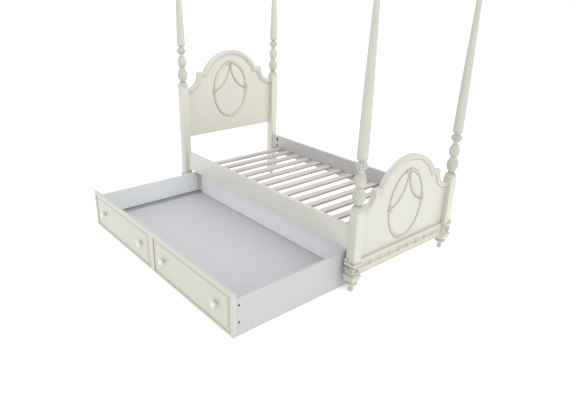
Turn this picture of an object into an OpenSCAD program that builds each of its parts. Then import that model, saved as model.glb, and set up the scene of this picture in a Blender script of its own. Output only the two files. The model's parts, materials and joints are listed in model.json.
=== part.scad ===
// Four-post twin bed with a trundle drawer that rolls out on one long side.
// Millimetres. +Z is up, +Y points to the headboard, and the drawer rolls out towards -X.
// The origin is on the floor, in the middle of the whole footprint with the drawer rolled out.

/* [Bed frame] */
// Length of each side rail, from post to post
rail_l = 1930; // [1880:5:2000]
// Distance between the left and right post centres
post_span = 984; // [960:2:1040]
// Width of the square post blocks
post_w = 66; // [62:1:72]
// Height of the top edge of the side rails
rail_top = 441; // [430:1:460]
// Depth of a side rail, top edge to bottom edge
rail_h = 157; // [150:1:160]
// Thickness of a side rail
rail_t = 26; // [24:1:30]
// How far the rail's outer face sits back from the post's outer face
rail_setback = 30; // [20:1:32]

/* [Posts] */
// Height of the turned feet under the post blocks
foot_h = 82; // [70:1:90]
// Height of the top of the square block on the footboard posts
foot_block_top = 568; // [560:1:600]
// Height of the top of the square block on the headboard posts
head_block_top = 1012; // [1000:1:1040]
// Diameter of the carved ball
ball_d = 81; // [76:1:84]
// Height at which the tapered shafts end and the finials begin
shaft_top = 1890; // [1860:5:1920]
// Diameter of the shaft just above its bulb
shaft_d = 69; // [64:1:72]
// Diameter of the shaft's tip
shaft_tip_d = 27; // [24:1:32]
// Height of the finials
finial_h = 100; // [90:1:120]

/* [Headboard and footboard] */
// Height of the crown's shoulders where they meet the headboard posts
head_shoulder = 979; // [970:1:990]
// Height of the crown's shoulders where they meet the footboard posts
foot_shoulder = 531; // [520:1:540]
// Rise of the arch's apex above the shoulders
arch_rise = 293; // [285:1:300]
// Radius of the arch
arch_r = 315; // [310:1:320]
// Radius of the hollow shoulder curves
scoop_r = 110; // [104:1:114]
// Height of the steps above the shoulders
step_rise = 128; // [122:1:132]
// Height of the face of the crown moulding
crown_w = 46; // [40:1:50]
// Thickness of the panels
panel_t = 20; // [16:1:22]
// Height of the headboard panel's bottom edge
head_panel_z = 560; // [540:5:580]
// Height of the footboard panel's bottom edge
foot_panel_z = 112; // [100:1:116]
// Height of the frieze band across the footboard
frieze_h = 103; // [96:1:115]
// Half width of the oval bead
oval_a = 178; // [170:1:182]
// Half height of the oval bead
oval_b = 242; // [236:1:246]

/* [Slats] */
// Number of slats
slat_count = 14; // [10:1:14]
// Distance from one slat to the next
slat_pitch = 133; // [120:1:134]
// Width of a slat
slat_w = 56; // [50:1:70]
// Thickness of a slat
slat_t = 18; // [16:1:20]
// Height of the slats' top faces
slat_top = 335; // [330:1:340]

/* [Trundle] */
// Length of the trundle's front
front_l = 1878; // [1840:2:1880]
// Height of the top edge of the front
front_top = 294; // [284:1:296]
// Gap between the floor and the front's bottom edge
front_gap = 6; // [4:1:12]
// Thickness of the front
front_t = 20; // [18:1:22]
// Length of the drawer box, outside
box_l = 1864; // [1830:2:1870]
// Depth of the drawer box behind the front
box_d = 960; // [900:5:960]
// Height of the box's top edges
box_top = 254; // [245:1:258]
// Height of the box's bottom edges
box_low = 8; // [6:1:16]
// Thickness of the box's sides and back
box_t = 18; // [16:1:18]
// Height of the top face of the bottom board
floor_top = 60; // [58:1:64]
// Thickness of the bottom board
floor_t = 8; // [6:1:9]
// How far the drawer is rolled out, from fully closed
roll_out = 860; // [820:1:870]
// Diameter of the knobs
knob_d = 58; // [40:1:60]
// How far the knobs stand out from the front
knob_l = 30; // [24:1:34]
// Diameter of the caster wheels
wheel_d = 32; // [28:1:34]
// Width of the caster wheels
wheel_w = 13; // [10:1:13]

/* [Hidden] */
$fn = 48;

// Frame layout
post_x = post_span / 2;
post_y = (rail_l + post_w) / 2;
rail_x1 = post_x + post_w / 2 - rail_setback;
rail_x0 = rail_x1 - rail_t;
rail_z0 = rail_top - rail_h;
inner_x = post_x - post_w / 2;
carving_t = 14;
plinth_bands = [[foot_h, 112, 6], [112, 128, 14], [196, 212, 14]];
foot_disc_r = 39;

// The whole footprint is centred on the origin
closed_face = rail_x1 + front_t + 2;
open_face = closed_face + roll_out;
bed_x = (open_face + knob_l - post_x - post_w / 2 - carving_t) / 2;
bed_y = (post_y + post_w / 2 + carving_t - post_y - foot_disc_r) / 2;

// Heights on the turned posts, above the top of the block
collar_top = 36;
ball_top = 144;
joint_up = 254;
neck_r = 19;
vase_full = 37;
vase_neck = 18;
bulb_up = 312;
tenon_r = 12;
tenon_l = 40;
peg_r = 9;
peg_l = 30;
tip_peg_r = 5;
tip_peg_l = 24;
slack = 0.1;

// Headboard and footboard layers, as distances from the post's centre line
head_panel_y = post_y + 8;
head_crown_y = post_y - 13;
head_crown_back = post_y + 31;
foot_panel_y = post_y - 4;
foot_crown_y = post_y + 10;
foot_crown_back = post_y - 35;
crown_step = 9;
crown_cap = 20;
crown_lip = 30;
bead_t = 7;
frieze_t = 14;
frieze_lip = 6;
oval_drop = 345;
oval_w = 11;
swag = [[5, 228], [12, 170], [40, 104], [86, 44], [132, 16], [oval_a - oval_w, 4]];

// Rail hardware
bolt_r = 4;
bolt_in_post = 40;
bolt_in_rail = 82;
access_y = rail_l / 2 - 78;
access_z = [416, 346];
access_r = 11;
access_depth = 20;
nut_l = 5;
slot_drop = 14;
ledger = 28;
slat_l = 2 * rail_x0 - 4;
slat_first = 829;
slat_screw_x = rail_x0 - ledger / 2;
sink_r = 4.6;
sink_depth = 2.6;

// Trundle
front_back = open_face - front_t;
box_x1 = front_back - box_d;
side_y = box_l / 2 - box_t;
false_t = 8;
false_y0 = 30;
false_l = front_l / 2 - 2 * false_y0;
false_z0 = front_gap + 16;
false_h = front_top - 26 - false_z0;
false_gap = 4;
knob_y = [-767, -160, 160, 767];
knob_z = 150;
caster_y = side_y - 26;
caster_x = [open_face - 76, box_x1 + 70];
fork_w = 40;
fork_gap = wheel_w + 2;
fork_top = floor_top - floor_t;
fork_sheet = 1.6;
axle_r = 3;
cam_z = [94, 206];
cam_r = 7.3;
cleat = [15, 24];
batten = 24;
strip_gap = 1;
bearer = [40, 16];

// ---------- helpers ----------

// Moves a piece from the bed's own centre lines to the origin of the whole part
module place() translate([bed_x, bed_y, 0]) children();

// Stands a flat outline, drawn as x and z, between two values of y
module slab(y0, y1) translate([0, y1, 0]) rotate([90, 0, 0]) linear_extrude(y1 - y0) children();

// A box from one corner to the opposite corner
module block(a, b) translate(a) cube(b - a);

// A rod along Y
module rod_y(r, y0, y1) translate([0, y1, 0]) rotate([90, 0, 0]) cylinder(r = r, h = y1 - y0);

// A rod along X
module rod_x(r, x0, x1) translate([x0, 0, 0]) rotate([0, 90, 0]) cylinder(r = r, h = x1 - x0);

// Points on an arc, from angle a0 to a1
function arc(c, r, a0, a1, n) = [for (i = [0:n]) let (a = a0 + (a1 - a0) * i / n)
    c + r * [cos(a), sin(a)]];

// Right half of the crowned outline, inset by e and standing on shoulder height s
function half_outline(e, s) =
    let (c = [inner_x - 7, s + scoop_r],
         r = scoop_r + e,
         top = s + step_rise - e,
         a = e > step_rise - scoop_r ? asin((c[1] - top) / r) : 0,
         mid = s + arch_rise - arch_r,
         ra = arch_r - e,
         b = asin((top - mid) / ra))
    concat([[inner_x, s - e]],
           arc(c, r, 270, 180 + a, 10),
           e > step_rise - scoop_r ? [] : [[c[0] - r, top]],
           arc([0, mid], ra, b, 90, 14));

// Both halves of the outline, from the right shoulder over the apex to the left shoulder
function full_outline(e, s) = let (h = half_outline(e, s), n = len(h))
    concat(h, [for (i = [n - 2:-1:0]) [-h[i][0], h[i][1]]]);

// Board with the crowned outline, inset by e, down to height low
module board(e, s, low) polygon(concat(full_outline(e, s), [[-inner_x, low], [inner_x, low]]));

// Band of the outline between two insets
module band(e0, e1, s) {
    outer = full_outline(e0, s);
    inner = full_outline(e1, s);
    polygon(concat(outer, [for (i = [len(inner) - 1:-1:0]) inner[i]]));
}

// Ring between two ellipses
module oval_ring(a, b, w) difference() {
    polygon([for (i = [0:47]) [a * cos(i * 7.5), b * sin(i * 7.5)]]);
    polygon([for (i = [0:47]) [(a - w) * cos(i * 7.5), (b - w) * sin(i * 7.5)]]);
}

// Ribbon of width w along a list of points
module ribbon(p, w) {
    n = len(p) - 1;
    side = [for (i = [0:n]) let (d = p[min(i + 1, n)] - p[max(i - 1, 0)])
        [-d[1], d[0]] / norm(d) * w / 2];
    polygon(concat([for (i = [0:n]) p[i] + side[i]], [for (i = [n:-1:0]) p[i] - side[i]]));
}

// ---------- posts ----------

// Radius of a swelling at fraction t of its height, fullest at fraction peak
function swell_r(t, full, peak) = neck_r
    + (full - neck_r) * pow(sin(90 * (t < peak ? t / peak : (1 - t) / (1 - peak))), 0.75);

// Radius of the vase at fraction t of its height
function vase_r(t) = t < 0.45
    ? swell_r(t, vase_full, 0.45)
    : vase_neck + (vase_full - vase_neck) * (1 + cos(180 * (t - 0.45) / 0.55)) / 2;

// Collar, ball and vase, turned in one piece with the block
module turned_part() rotate_extrude() polygon(concat(
    [[0, 0], [38, 0], [40, 5], [39, 11], [35, 18], [28, 26], [22, 32]],
    [for (i = [0:15]) [swell_r(i / 15, ball_d / 2, 0.5), collar_top + (ball_top - collar_top) * i / 15]],
    [for (i = [1:16]) [vase_r(i / 16), ball_top + (joint_up - ball_top) * i / 16]],
    [[0, joint_up]]));

// Square block with the turned ball and vase above it
module lower_post(block_top) difference() {
    union() {
        block([-post_w / 2, -post_w / 2, foot_h], [post_w / 2, post_w / 2, block_top]);
        translate([0, 0, block_top]) turned_part();
    }
    translate([0, 0, foot_h - 1]) cylinder(r = peg_r + slack, h = peg_l + 2);
    translate([0, 0, block_top + joint_up - tenon_l - 1]) cylinder(r = tenon_r + slack, h = tenon_l + 2);
}

// Places a post's pieces, with sx = -1 on the trundle's side and sy = 1 at the headboard
module at_post(sx, sy) translate([sx * post_x, sy * post_y, 0]) children();

// Bolt holes for the side rail in a post
module post_bolt_holes(sx, sy) for (z = access_z)
    translate([sx * (rail_x0 + rail_t / 2), sy * rail_l / 2, z])
        rod_y(bolt_r + slack, sy > 0 ? -1 : -bolt_in_post, sy > 0 ? bolt_in_post : 1);

module post_body(sx, sy) color("oldlace") place() difference() {
    at_post(sx, sy) lower_post(sy > 0 ? head_block_top : foot_block_top);
    post_bolt_holes(sx, sy);
}

// Radius of the shaft at fraction t of its length
function shaft_r(t, bend) = shaft_d / 2 - (shaft_d - shaft_tip_d) / 2 * pow(t, bend);

// Cup, neck, bulb and long tapered shaft, with tenons at both ends
module shaft(sx, sy) {
    z0 = (sy > 0 ? head_block_top : foot_block_top) + joint_up;
    run = shaft_top - z0;
    low = bulb_up - joint_up + 26;
    bend = sy > 0 ? 1.2 : 1.45;
    color("oldlace") place() at_post(sx, sy) translate([0, 0, z0]) difference() {
        union() {
            translate([0, 0, -tenon_l]) cylinder(r = tenon_r, h = tenon_l + 1);
            rotate_extrude() polygon(concat(
                [[0, 0], [18, 0], [20, 4], [26, 10], [33, 18], [38, 26], [38.5, 31], [34, 38]],
                [[28, 46], [21, 53], [17.5, 56], [17.5, 58], [24, 62], [31, 67], [33.5, 74]],
                [for (i = [0:18]) [shaft_r(i / 18, bend), low + (run - low) * i / 18]],
                [[0, run]]));
        }
        translate([0, 0, run - tip_peg_l - 1]) cylinder(r = tip_peg_r + slack, h = tip_peg_l + 2);
    }
}

// Turned foot with a round tenon that goes up into the block
module turned_foot(sx, sy) color("oldlace") place() at_post(sx, sy) {
    rotate_extrude() polygon([[0, 0], [13, 0], [16, 5], [17, 13], [15, 21], [12, 27], [13, 34],
        [20, 42], [30, 50], [37, 57], [foot_disc_r, 62], [foot_disc_r, 68], [36, 73], [32, 76],
        [32, foot_h], [0, foot_h]]);
    translate([0, 0, foot_h - 1]) cylinder(r = peg_r, h = peg_l + 1);
}

module finial() {
    translate([0, 0, -tip_peg_l]) cylinder(r = tip_peg_r, h = tip_peg_l + 1);
    rotate_extrude() polygon([[0, 0], [shaft_tip_d / 2, 0], [17, 4], [17, 8], [10, 13], [11, 20],
        [17, 30], [20, 42], [19, 54], [14, 66], [8, 76], [6, 82], [8, 88], [5, 96], [0, finial_h]]);
}

module finials() color("oldlace") place()
    for (sx = [-1, 1], sy = [-1, 1]) at_post(sx, sy) translate([0, 0, shaft_top]) finial();

// ---------- headboard and footboard ----------

module headboard_panel() color("ivory") place()
    slab(head_panel_y, head_panel_y + panel_t) board(crown_cap, head_shoulder, head_panel_z);

module headboard_crown() color("oldlace") place() {
    slab(head_crown_y, head_crown_y + crown_step) band(0, crown_lip, head_shoulder);
    slab(head_crown_y + crown_step, head_panel_y) band(0, crown_w, head_shoulder);
    slab(head_panel_y, head_crown_back) band(0, crown_cap, head_shoulder);
}

module footboard_panel() color("ivory") place()
    slab(-foot_panel_y, panel_t - foot_panel_y) board(crown_cap, foot_shoulder, foot_panel_z);

module footboard_crown() color("oldlace") place() {
    slab(-foot_crown_y, crown_step - foot_crown_y) band(0, crown_lip, foot_shoulder);
    slab(crown_step - foot_crown_y, -foot_panel_y) band(0, crown_w, foot_shoulder);
    slab(-foot_panel_y, -foot_crown_back) band(0, crown_cap, foot_shoulder);
}

// Oval bead with a bow at its top, a knot at each side and two ribbon swags inside
module applique() {
    oval_ring(oval_a, oval_b, oval_w);
    for (s = [-1, 1]) {
        ribbon([for (p = swag) [s * p[0], p[1]]], 9);
        translate([s * (oval_a - oval_w / 2), 4]) circle(r = 13);
        translate([s * 16, oval_b + 2]) circle(r = 12);
    }
    translate([0, oval_b - 8]) circle(r = 10);
}

module headboard_applique() color("ivory") place()
    slab(head_panel_y - bead_t, head_panel_y)
        translate([0, head_shoulder + arch_rise - oval_drop]) applique();

module footboard_applique() color("ivory") place()
    slab(-foot_panel_y - bead_t, -foot_panel_y)
        translate([0, foot_shoulder + arch_rise - oval_drop]) applique();

module frieze_board() color("oldlace") place() {
    face = foot_panel_y + frieze_t;
    block([-inner_x, -face, foot_panel_z], [inner_x, -foot_panel_y, foot_panel_z + frieze_h]);
    for (z = [foot_panel_z, foot_panel_z + frieze_h - 9])
        block([-inner_x, -face - frieze_lip, z], [inner_x, -face, z + 9]);
}

// One repeat of the floral band: a rosette between two leaf sprays
module frieze_repeat() {
    circle(r = 15);
    for (s = [-1, 1]) {
        translate([s * 22, 12]) circle(r = 11);
        translate([s * 22, -12]) circle(r = 11);
        translate([s * 36, 0]) circle(r = 8);
    }
}

module frieze_carving() color("ivory") place()
    slab(-foot_panel_y - frieze_t - 5, -foot_panel_y - frieze_t)
        for (i = [-4:4]) translate([i * 98, foot_panel_z + frieze_h / 2]) frieze_repeat();

// Carved leaf spray on one face of a post's plinth
module plinth_carving() {
    circle(r = 15);
    for (s = [-1, 1]) {
        translate([0, s * 22]) circle(r = 16);
        translate([s * 14, s * 38]) circle(r = 14);
        translate([-s * 14, s * 38]) circle(r = 14);
    }
}

// Mouldings round the plinth, on the faces that show
module plinth_mouldings(sx, sy) for (b = plinth_bands) difference() {
    half = post_w / 2;
    block([sx < 0 ? -half - b[2] : -half, sy < 0 ? -half - b[2] : -half, b[0]],
          [sx > 0 ? half + b[2] : half, half, b[1]]);
    block([-half, -half, b[0] - 1], [half, half, b[1] + 1]);
}

module plinth_carvings() color("ivory") place() {
    for (sx = [-1, 1], sy = [-1, 1]) at_post(sx, sy) {
        rotate([0, 0, sx * 90]) slab(-post_w / 2 - carving_t, -post_w / 2)
            translate([0, foot_h + 108]) plinth_carving();
        plinth_mouldings(sx, sy);
    }
    for (sx = [-1, 1]) at_post(sx, -1)
        slab(-post_w / 2 - carving_t + 4, -post_w / 2) translate([0, foot_h + 80]) circle(r = 22);
}

// ---------- rails and slats ----------

// Side rail on the +X side, with a bolt bore and an access hole at each bolt
module rail_shape() difference() {
    block([rail_x0, -rail_l / 2, rail_z0], [rail_x1, rail_l / 2, rail_top]);
    for (sy = [-1, 1]) {
        for (z = access_z) {
            translate([rail_x0 + rail_t / 2, sy * (rail_l + access_y * 2) / 4, z])
                rod_y(bolt_r + slack, access_y / 2 - rail_l / 4 - 1, rail_l / 4 - access_y / 2 + 1);
            translate([0, sy * access_y, z]) rod_x(access_r, rail_x0 - 1, rail_x0 + access_depth);
        }
        translate([0, sy * access_y, access_z[0] - slot_drop])
            rod_x(access_r, rail_x0 - 1, rail_x0 + access_depth);
        block([rail_x0 - 1, sy * access_y - access_r, access_z[0] - slot_drop],
              [rail_x0 + access_depth, sy * access_y + access_r, access_z[0]]);
    }
}

module rail_near() color("oldlace") place() mirror([1, 0, 0]) rail_shape();
module rail_far() color("oldlace") place() rail_shape();

module rail_bolts() color("dimgray") place() for (sx = [-1, 1], sy = [-1, 1], z = access_z)
    translate([sx * (rail_x0 + rail_t / 2), sy * rail_l / 2, z])
        rod_y(bolt_r, sy > 0 ? -bolt_in_rail : -bolt_in_post, sy > 0 ? bolt_in_post : bolt_in_rail);

// Hexagon nuts inside the access holes, each with a bore for its bolt
module rail_nuts() color("dimgray") place() for (sx = [-1, 1], sy = [-1, 1], z = access_z)
    translate([sx * (rail_x0 + rail_t / 2), sy * (access_y - nut_l / 10) + nut_l / 2, z])
        rotate([90, 0, 0]) difference() {
            cylinder(r = 6.5, h = nut_l, $fn = 6);
            translate([0, 0, -1]) cylinder(r = bolt_r + slack, h = nut_l + 2);
        }

// Ledger strip that carries the slats' ends, with a pilot hole for each screw
module ledger_shape() difference() {
    block([rail_x0 - ledger, -rail_l / 2 + 20, slat_top - slat_t - ledger],
          [rail_x0, rail_l / 2 - 20, slat_top - slat_t]);
    for (i = [0:slat_count - 1])
        translate([slat_screw_x, slat_first - i * slat_pitch, slat_top - slat_t - 14])
            cylinder(r = 2 + slack, h = 16);
}

module ledger_near() color("tan") place() mirror([1, 0, 0]) ledger_shape();
module ledger_far() color("tan") place() ledger_shape();

// Slat number i, counted from the headboard, with a countersunk hole at each end
module slat(i) color("linen") place() translate([0, slat_first - (i - 1) * slat_pitch, 0]) difference() {
    block([-slat_l / 2, -slat_w / 2, slat_top - slat_t], [slat_l / 2, slat_w / 2, slat_top]);
    for (s = [-1, 1]) translate([s * slat_screw_x, 0, slat_top]) {
        translate([0, 0, -slat_t - 1]) cylinder(r = 2 + slack, h = slat_t + 2);
        translate([0, 0, -sink_depth]) cylinder(r1 = 2, r2 = sink_r, h = sink_depth + 0.01);
    }
}

module slat_screws() color("dimgray") place()
    for (i = [0:slat_count - 1], s = [-1, 1])
        translate([s * slat_screw_x, slat_first - i * slat_pitch, slat_top]) {
            translate([0, 0, -sink_depth]) cylinder(r1 = 1.8, r2 = sink_r - 0.3, h = sink_depth - 0.1);
            translate([0, 0, -slat_t - 12]) cylinder(r = 2, h = slat_t + 12 - sink_depth + 0.5);
        }

// ---------- trundle ----------

// Outline of a false drawer's recess; s = 1 on the headboard's half
module false_area(s, gap, x0, x1) block(
    [x0, s > 0 ? false_y0 + gap : -false_y0 - false_l + gap, false_z0 + gap],
    [x1, s > 0 ? false_y0 + false_l - gap : -false_y0 - gap, false_z0 + false_h - gap]);

module trundle_front() color("ivory") place() difference() {
    block([-open_face, -front_l / 2, front_gap], [-front_back, front_l / 2, front_top]);
    for (s = [-1, 1]) false_area(s, 0, -open_face - 1, -open_face + false_t);
    for (y = knob_y) translate([0, y, knob_z]) rod_x(2 + slack, -open_face, -front_back + 1);
    for (sy = [-1, 1], z = cam_z) translate([0, sy * (side_y + box_t / 2), z])
        rod_x(3 + slack, -front_back - 9, -front_back + 1);
}

// False drawer front set into the recess
module false_drawer(s) color("ivory") place() difference() {
    false_area(s, false_gap, -open_face, -open_face + false_t);
    for (y = knob_y) translate([0, y, knob_z]) rod_x(2 + slack, -open_face - 1, -front_back);
}

// Side of the drawer box, with two bores for cam bolts at the front
module trundle_side(s) color("aliceblue") place() difference() {
    block([-front_back, s > 0 ? side_y : -side_y - box_t, box_low],
          [-box_x1, s > 0 ? side_y + box_t : -side_y, box_top]);
    for (z = cam_z) {
        translate([0, s * (side_y + box_t / 2), z]) rod_x(3 + slack, -front_back - 1, -front_back + 36);
        translate([-front_back + 24, s * (side_y + box_t / 2), z])
            rod_y(cam_r + 0.2, s > 0 ? 0 : -box_t / 2 - 1, s > 0 ? box_t / 2 + 1 : 0);
    }
}

module trundle_back() color("aliceblue") place()
    block([-box_x1 - box_t, -side_y, box_low], [-box_x1, side_y, box_top]);

// Bottom board, cut out round the strips and battens that stand beside it
module trundle_bottom() color("lavender") place()
    translate([0, 0, floor_top - floor_t]) linear_extrude(floor_t) polygon(
        let (x0 = -front_back, x2 = -box_x1 - box_t, x1 = x2 - batten,
             y1 = side_y - cleat[0], y2 = side_y - batten)
        [[x0, -y1], [x1, -y1], [x1, -y2], [x2, -y2], [x2, y2], [x1, y2], [x1, y1], [x0, y1]]);

// Battens under the bottom board, from front to back
module bottom_bearers() color("tan") place() for (i = [-2:2])
    translate([-front_back, i * 400 - bearer[0] / 2, floor_top - floor_t - bearer[1]])
        cube([front_back - box_x1 - box_t, bearer[0], bearer[1]]);

// Strips that close the bottom board's ends along the short sides, and the back corners' battens
module box_strips() color("lightsteelblue") place() for (s = [-1, 1]) {
    translate([-front_back, s > 0 ? side_y - cleat[0] : -side_y, floor_top - floor_t])
        cube([front_back - box_x1 - box_t - batten - strip_gap, cleat[0], cleat[1] + floor_t]);
    translate([-box_x1 - box_t - batten, s > 0 ? side_y - batten : -side_y, floor_top - floor_t])
        cube([batten, batten, box_top - 6 - floor_top + floor_t]);
}

// Cam bolts that pull the sides to the front, with their round cams
module trundle_screws() color("dimgray") place() for (s = [-1, 1], z = cam_z)
    translate([0, s * (side_y + box_t / 2), z]) {
        rod_x(3, -front_back - 8, -front_back + 34);
        translate([-front_back + 24, 0, 0])
            rod_y(cam_r, s > 0 ? 2 : -box_t / 2 + 1, s > 0 ? box_t / 2 - 1 : -2);
    }

// Mushroom knobs, each with its screw through the front
module knobs() color("silver") place() for (y = knob_y) translate([-open_face, y, knob_z]) {
    rotate([0, -90, 0]) rotate_extrude() polygon([[0, 0], [15, 0], [15, 3], [8, 6], [7, 11],
        [12, 15], [knob_d / 2 - 1, 18], [knob_d / 2, 21], [knob_d / 2 - 3, 25], [12, knob_l - 1],
        [0, knob_l]]);
    rod_x(2, -1, front_t);
    translate([front_t, 0, 0]) rod_x(4.5, 0, 2);
}

// Bracket that holds one wheel, with holes for its axle
module fork() difference() {
    block([-fork_w / 2, -fork_gap / 2 - fork_sheet, wheel_d / 2 - 6],
          [fork_w / 2, fork_gap / 2 + fork_sheet, fork_top]);
    block([-fork_w, -fork_gap / 2, 0], [fork_w, fork_gap / 2, fork_top - fork_sheet]);
    translate([0, 0, wheel_d / 2]) rod_y(axle_r, -fork_gap, fork_gap);
}

module at_caster(x, s) translate([-x, s * caster_y, 0]) children();

module caster_forks() color("silver") place()
    for (x = caster_x, s = [-1, 1]) at_caster(x, s) fork();

module caster_axles() color("dimgray") place() for (x = caster_x, s = [-1, 1]) at_caster(x, s)
    translate([0, 0, wheel_d / 2])
        rod_y(axle_r, -fork_gap / 2 - fork_sheet, fork_gap / 2 + fork_sheet);

// Caster wheel with a running bore
module wheel(x, s) color("darkslategray") place() at_caster(x, s)
    translate([0, wheel_w / 2, wheel_d / 2]) rotate([90, 0, 0]) difference() {
        cylinder(d = wheel_d, h = wheel_w);
        translate([0, 0, -1]) cylinder(r = axle_r + 0.05, h = wheel_w + 2);
    }

post_body(-1, -1);  // post_foot_near
post_body(1, -1);  // post_foot_far
post_body(-1, 1);  // post_head_near
post_body(1, 1);  // post_head_far
shaft(-1, -1);  // shaft_foot_near
shaft(1, -1);  // shaft_foot_far
shaft(-1, 1);  // shaft_head_near
shaft(1, 1);  // shaft_head_far
turned_foot(-1, -1);  // turned_foot_foot_near
turned_foot(1, -1);  // turned_foot_foot_far
turned_foot(-1, 1);  // turned_foot_head_near
turned_foot(1, 1);  // turned_foot_head_far
finials();
headboard_panel();
headboard_crown();
headboard_applique();
footboard_panel();
footboard_crown();
footboard_applique();
frieze_board();
frieze_carving();
plinth_carvings();
rail_near();
rail_far();
rail_bolts();
rail_nuts();
ledger_near();
ledger_far();
for (i = [1:slat_count]) slat(i);
slat_screws();
trundle_front();
false_drawer(1);  // false_drawer_head
false_drawer(-1);  // false_drawer_foot
trundle_side(1);  // trundle_side_head
trundle_side(-1);  // trundle_side_foot
trundle_back();
trundle_bottom();
bottom_bearers();
box_strips();
trundle_screws();
knobs();
caster_forks();
caster_axles();
wheel(caster_x[0], -1);  // wheel_front_foot
wheel(caster_x[0], 1);  // wheel_front_head
wheel(caster_x[1], -1);  // wheel_back_foot
wheel(caster_x[1], 1);  // wheel_back_head
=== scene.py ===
# %% [markdown]
# # A four-post bed with a trundle drawer
#
# The bed is painted wood: four square posts with carved turnings and long tapered shafts, a crowned
# headboard and footboard, slats on ledger strips, and a drawer on casters that rolls out at one side.
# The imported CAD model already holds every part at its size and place, so this lesson starts by
# loading it, and then builds the shapes that a carver, a turner and a painter would add to it.

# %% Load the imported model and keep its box
import json
import math

import bpy
import bmesh
import numpy as np
from mathutils import Matrix, Vector

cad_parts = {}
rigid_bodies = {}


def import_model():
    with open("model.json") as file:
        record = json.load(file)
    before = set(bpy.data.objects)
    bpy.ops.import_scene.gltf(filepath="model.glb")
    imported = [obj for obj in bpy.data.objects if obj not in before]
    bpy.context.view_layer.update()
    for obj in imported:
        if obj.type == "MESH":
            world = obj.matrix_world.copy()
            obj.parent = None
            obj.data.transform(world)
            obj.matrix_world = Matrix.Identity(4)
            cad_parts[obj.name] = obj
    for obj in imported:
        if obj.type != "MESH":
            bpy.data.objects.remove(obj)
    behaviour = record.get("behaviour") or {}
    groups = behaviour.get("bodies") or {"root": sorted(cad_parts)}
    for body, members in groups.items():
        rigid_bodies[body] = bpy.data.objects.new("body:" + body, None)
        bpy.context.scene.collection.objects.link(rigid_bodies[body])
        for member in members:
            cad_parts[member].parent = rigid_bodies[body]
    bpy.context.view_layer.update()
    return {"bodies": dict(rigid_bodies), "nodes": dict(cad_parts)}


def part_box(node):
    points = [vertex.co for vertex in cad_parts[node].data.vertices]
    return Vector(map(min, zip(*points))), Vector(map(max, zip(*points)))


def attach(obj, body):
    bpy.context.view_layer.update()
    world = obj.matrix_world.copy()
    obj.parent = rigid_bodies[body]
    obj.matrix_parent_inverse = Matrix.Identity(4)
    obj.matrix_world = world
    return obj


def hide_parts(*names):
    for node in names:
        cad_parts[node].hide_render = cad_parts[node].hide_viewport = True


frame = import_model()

# %% [markdown]
# ## Camera
#
# The bed is seen from its drawer side and a little above eye level. A camera is described here as a
# photographer would: where it stands, how far it turns, tips and leans, and how long its lens is.
# Settling it first means that each piece can be judged in the same view as soon as it is made.

# %% Stand the camera at the drawer's side of the footboard
left_post, right_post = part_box("post_foot_near"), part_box("post_foot_far")
bed_x = (left_post[0].x + right_post[1].x) / 2
rail_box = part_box("rail_near")
bed_y = (rail_box[0].y + rail_box[1].y) / 2

camera_data = bpy.data.cameras.new("bed_camera")
camera_data.lens = 32.15
camera_data.sensor_width = 36
camera_data.shift_x = 0.0347
camera_data.shift_y = 0.003
camera = bpy.data.objects.new("bed_camera", camera_data)
bpy.context.scene.collection.objects.link(camera)
turned, tipped, leaned = math.radians(-39.59), math.radians(90 - 23.4), math.radians(0.89)
camera.matrix_world = (
    Matrix.Translation((bed_x - 2.7152, bed_y - 2.8378, 1.8149))
    @ Matrix.Rotation(turned, 4, "Z")
    @ Matrix.Rotation(tipped, 4, "X")
    @ Matrix.Rotation(leaned, 4, "Z")
)
bpy.context.scene.camera = camera
print("camera stands", round((camera.location - Vector((bed_x, bed_y, 0.5))).length, 2), "m away")

# %% [markdown]
# ## Floor and studio light
#
# A pale floor and a bright, even room suit a cream finish: hard light would burn out its mouldings.
# The bright room gives most of the light. One wide lamp high in front of the footboard makes the faces
# turned to it a little brighter than the drawer's side. A softbox over the slats lights the headboard,
# which the footboard and the posts would otherwise shade.

# %% A pale floor, two lamps and a bright room
floor_mesh = bpy.data.meshes.new("studio_floor")
floor_mesh.from_pydata([(-60, -60, 0), (60, -60, 0), (60, 60, 0), (-60, 60, 0)], [], [(0, 1, 2, 3)])
studio_floor = bpy.data.objects.new("studio_floor", floor_mesh)
bpy.context.scene.collection.objects.link(studio_floor)

floor_finish = bpy.data.materials.new("studio_floor")
floor_finish.use_nodes = True
floor_shader = floor_finish.node_tree.nodes["Principled BSDF"]
floor_shader.inputs["Base Color"].default_value = (0.93, 0.93, 0.93, 1)
floor_shader.inputs["Roughness"].default_value = 0.9
floor_shader.inputs["Specular IOR Level"].default_value = 0.1
floor_shader.inputs["Emission Color"].default_value = (1, 1, 1, 1)
floor_shader.inputs["Emission Strength"].default_value = 0.3
floor_mesh.materials.append(floor_finish)

room = bpy.data.worlds.new("studio_room")
bpy.context.scene.world = room
room.use_nodes = True
room.node_tree.nodes["Background"].inputs["Color"].default_value = (1.0, 1.0, 1.0, 1)
room.node_tree.nodes["Background"].inputs["Strength"].default_value = 1.0
bpy.context.scene.view_settings.view_transform = "Standard"


def put_lamp(name, kind, energy, towards):
    """A lamp whose light travels in the direction towards."""
    lamp = bpy.data.objects.new(name, bpy.data.lights.new(name, kind))
    lamp.data.energy = energy
    lamp.rotation_mode = "QUATERNION"
    lamp.rotation_quaternion = towards.to_track_quat("-Z", "Y")
    bpy.context.scene.collection.objects.link(lamp)
    return lamp


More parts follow.
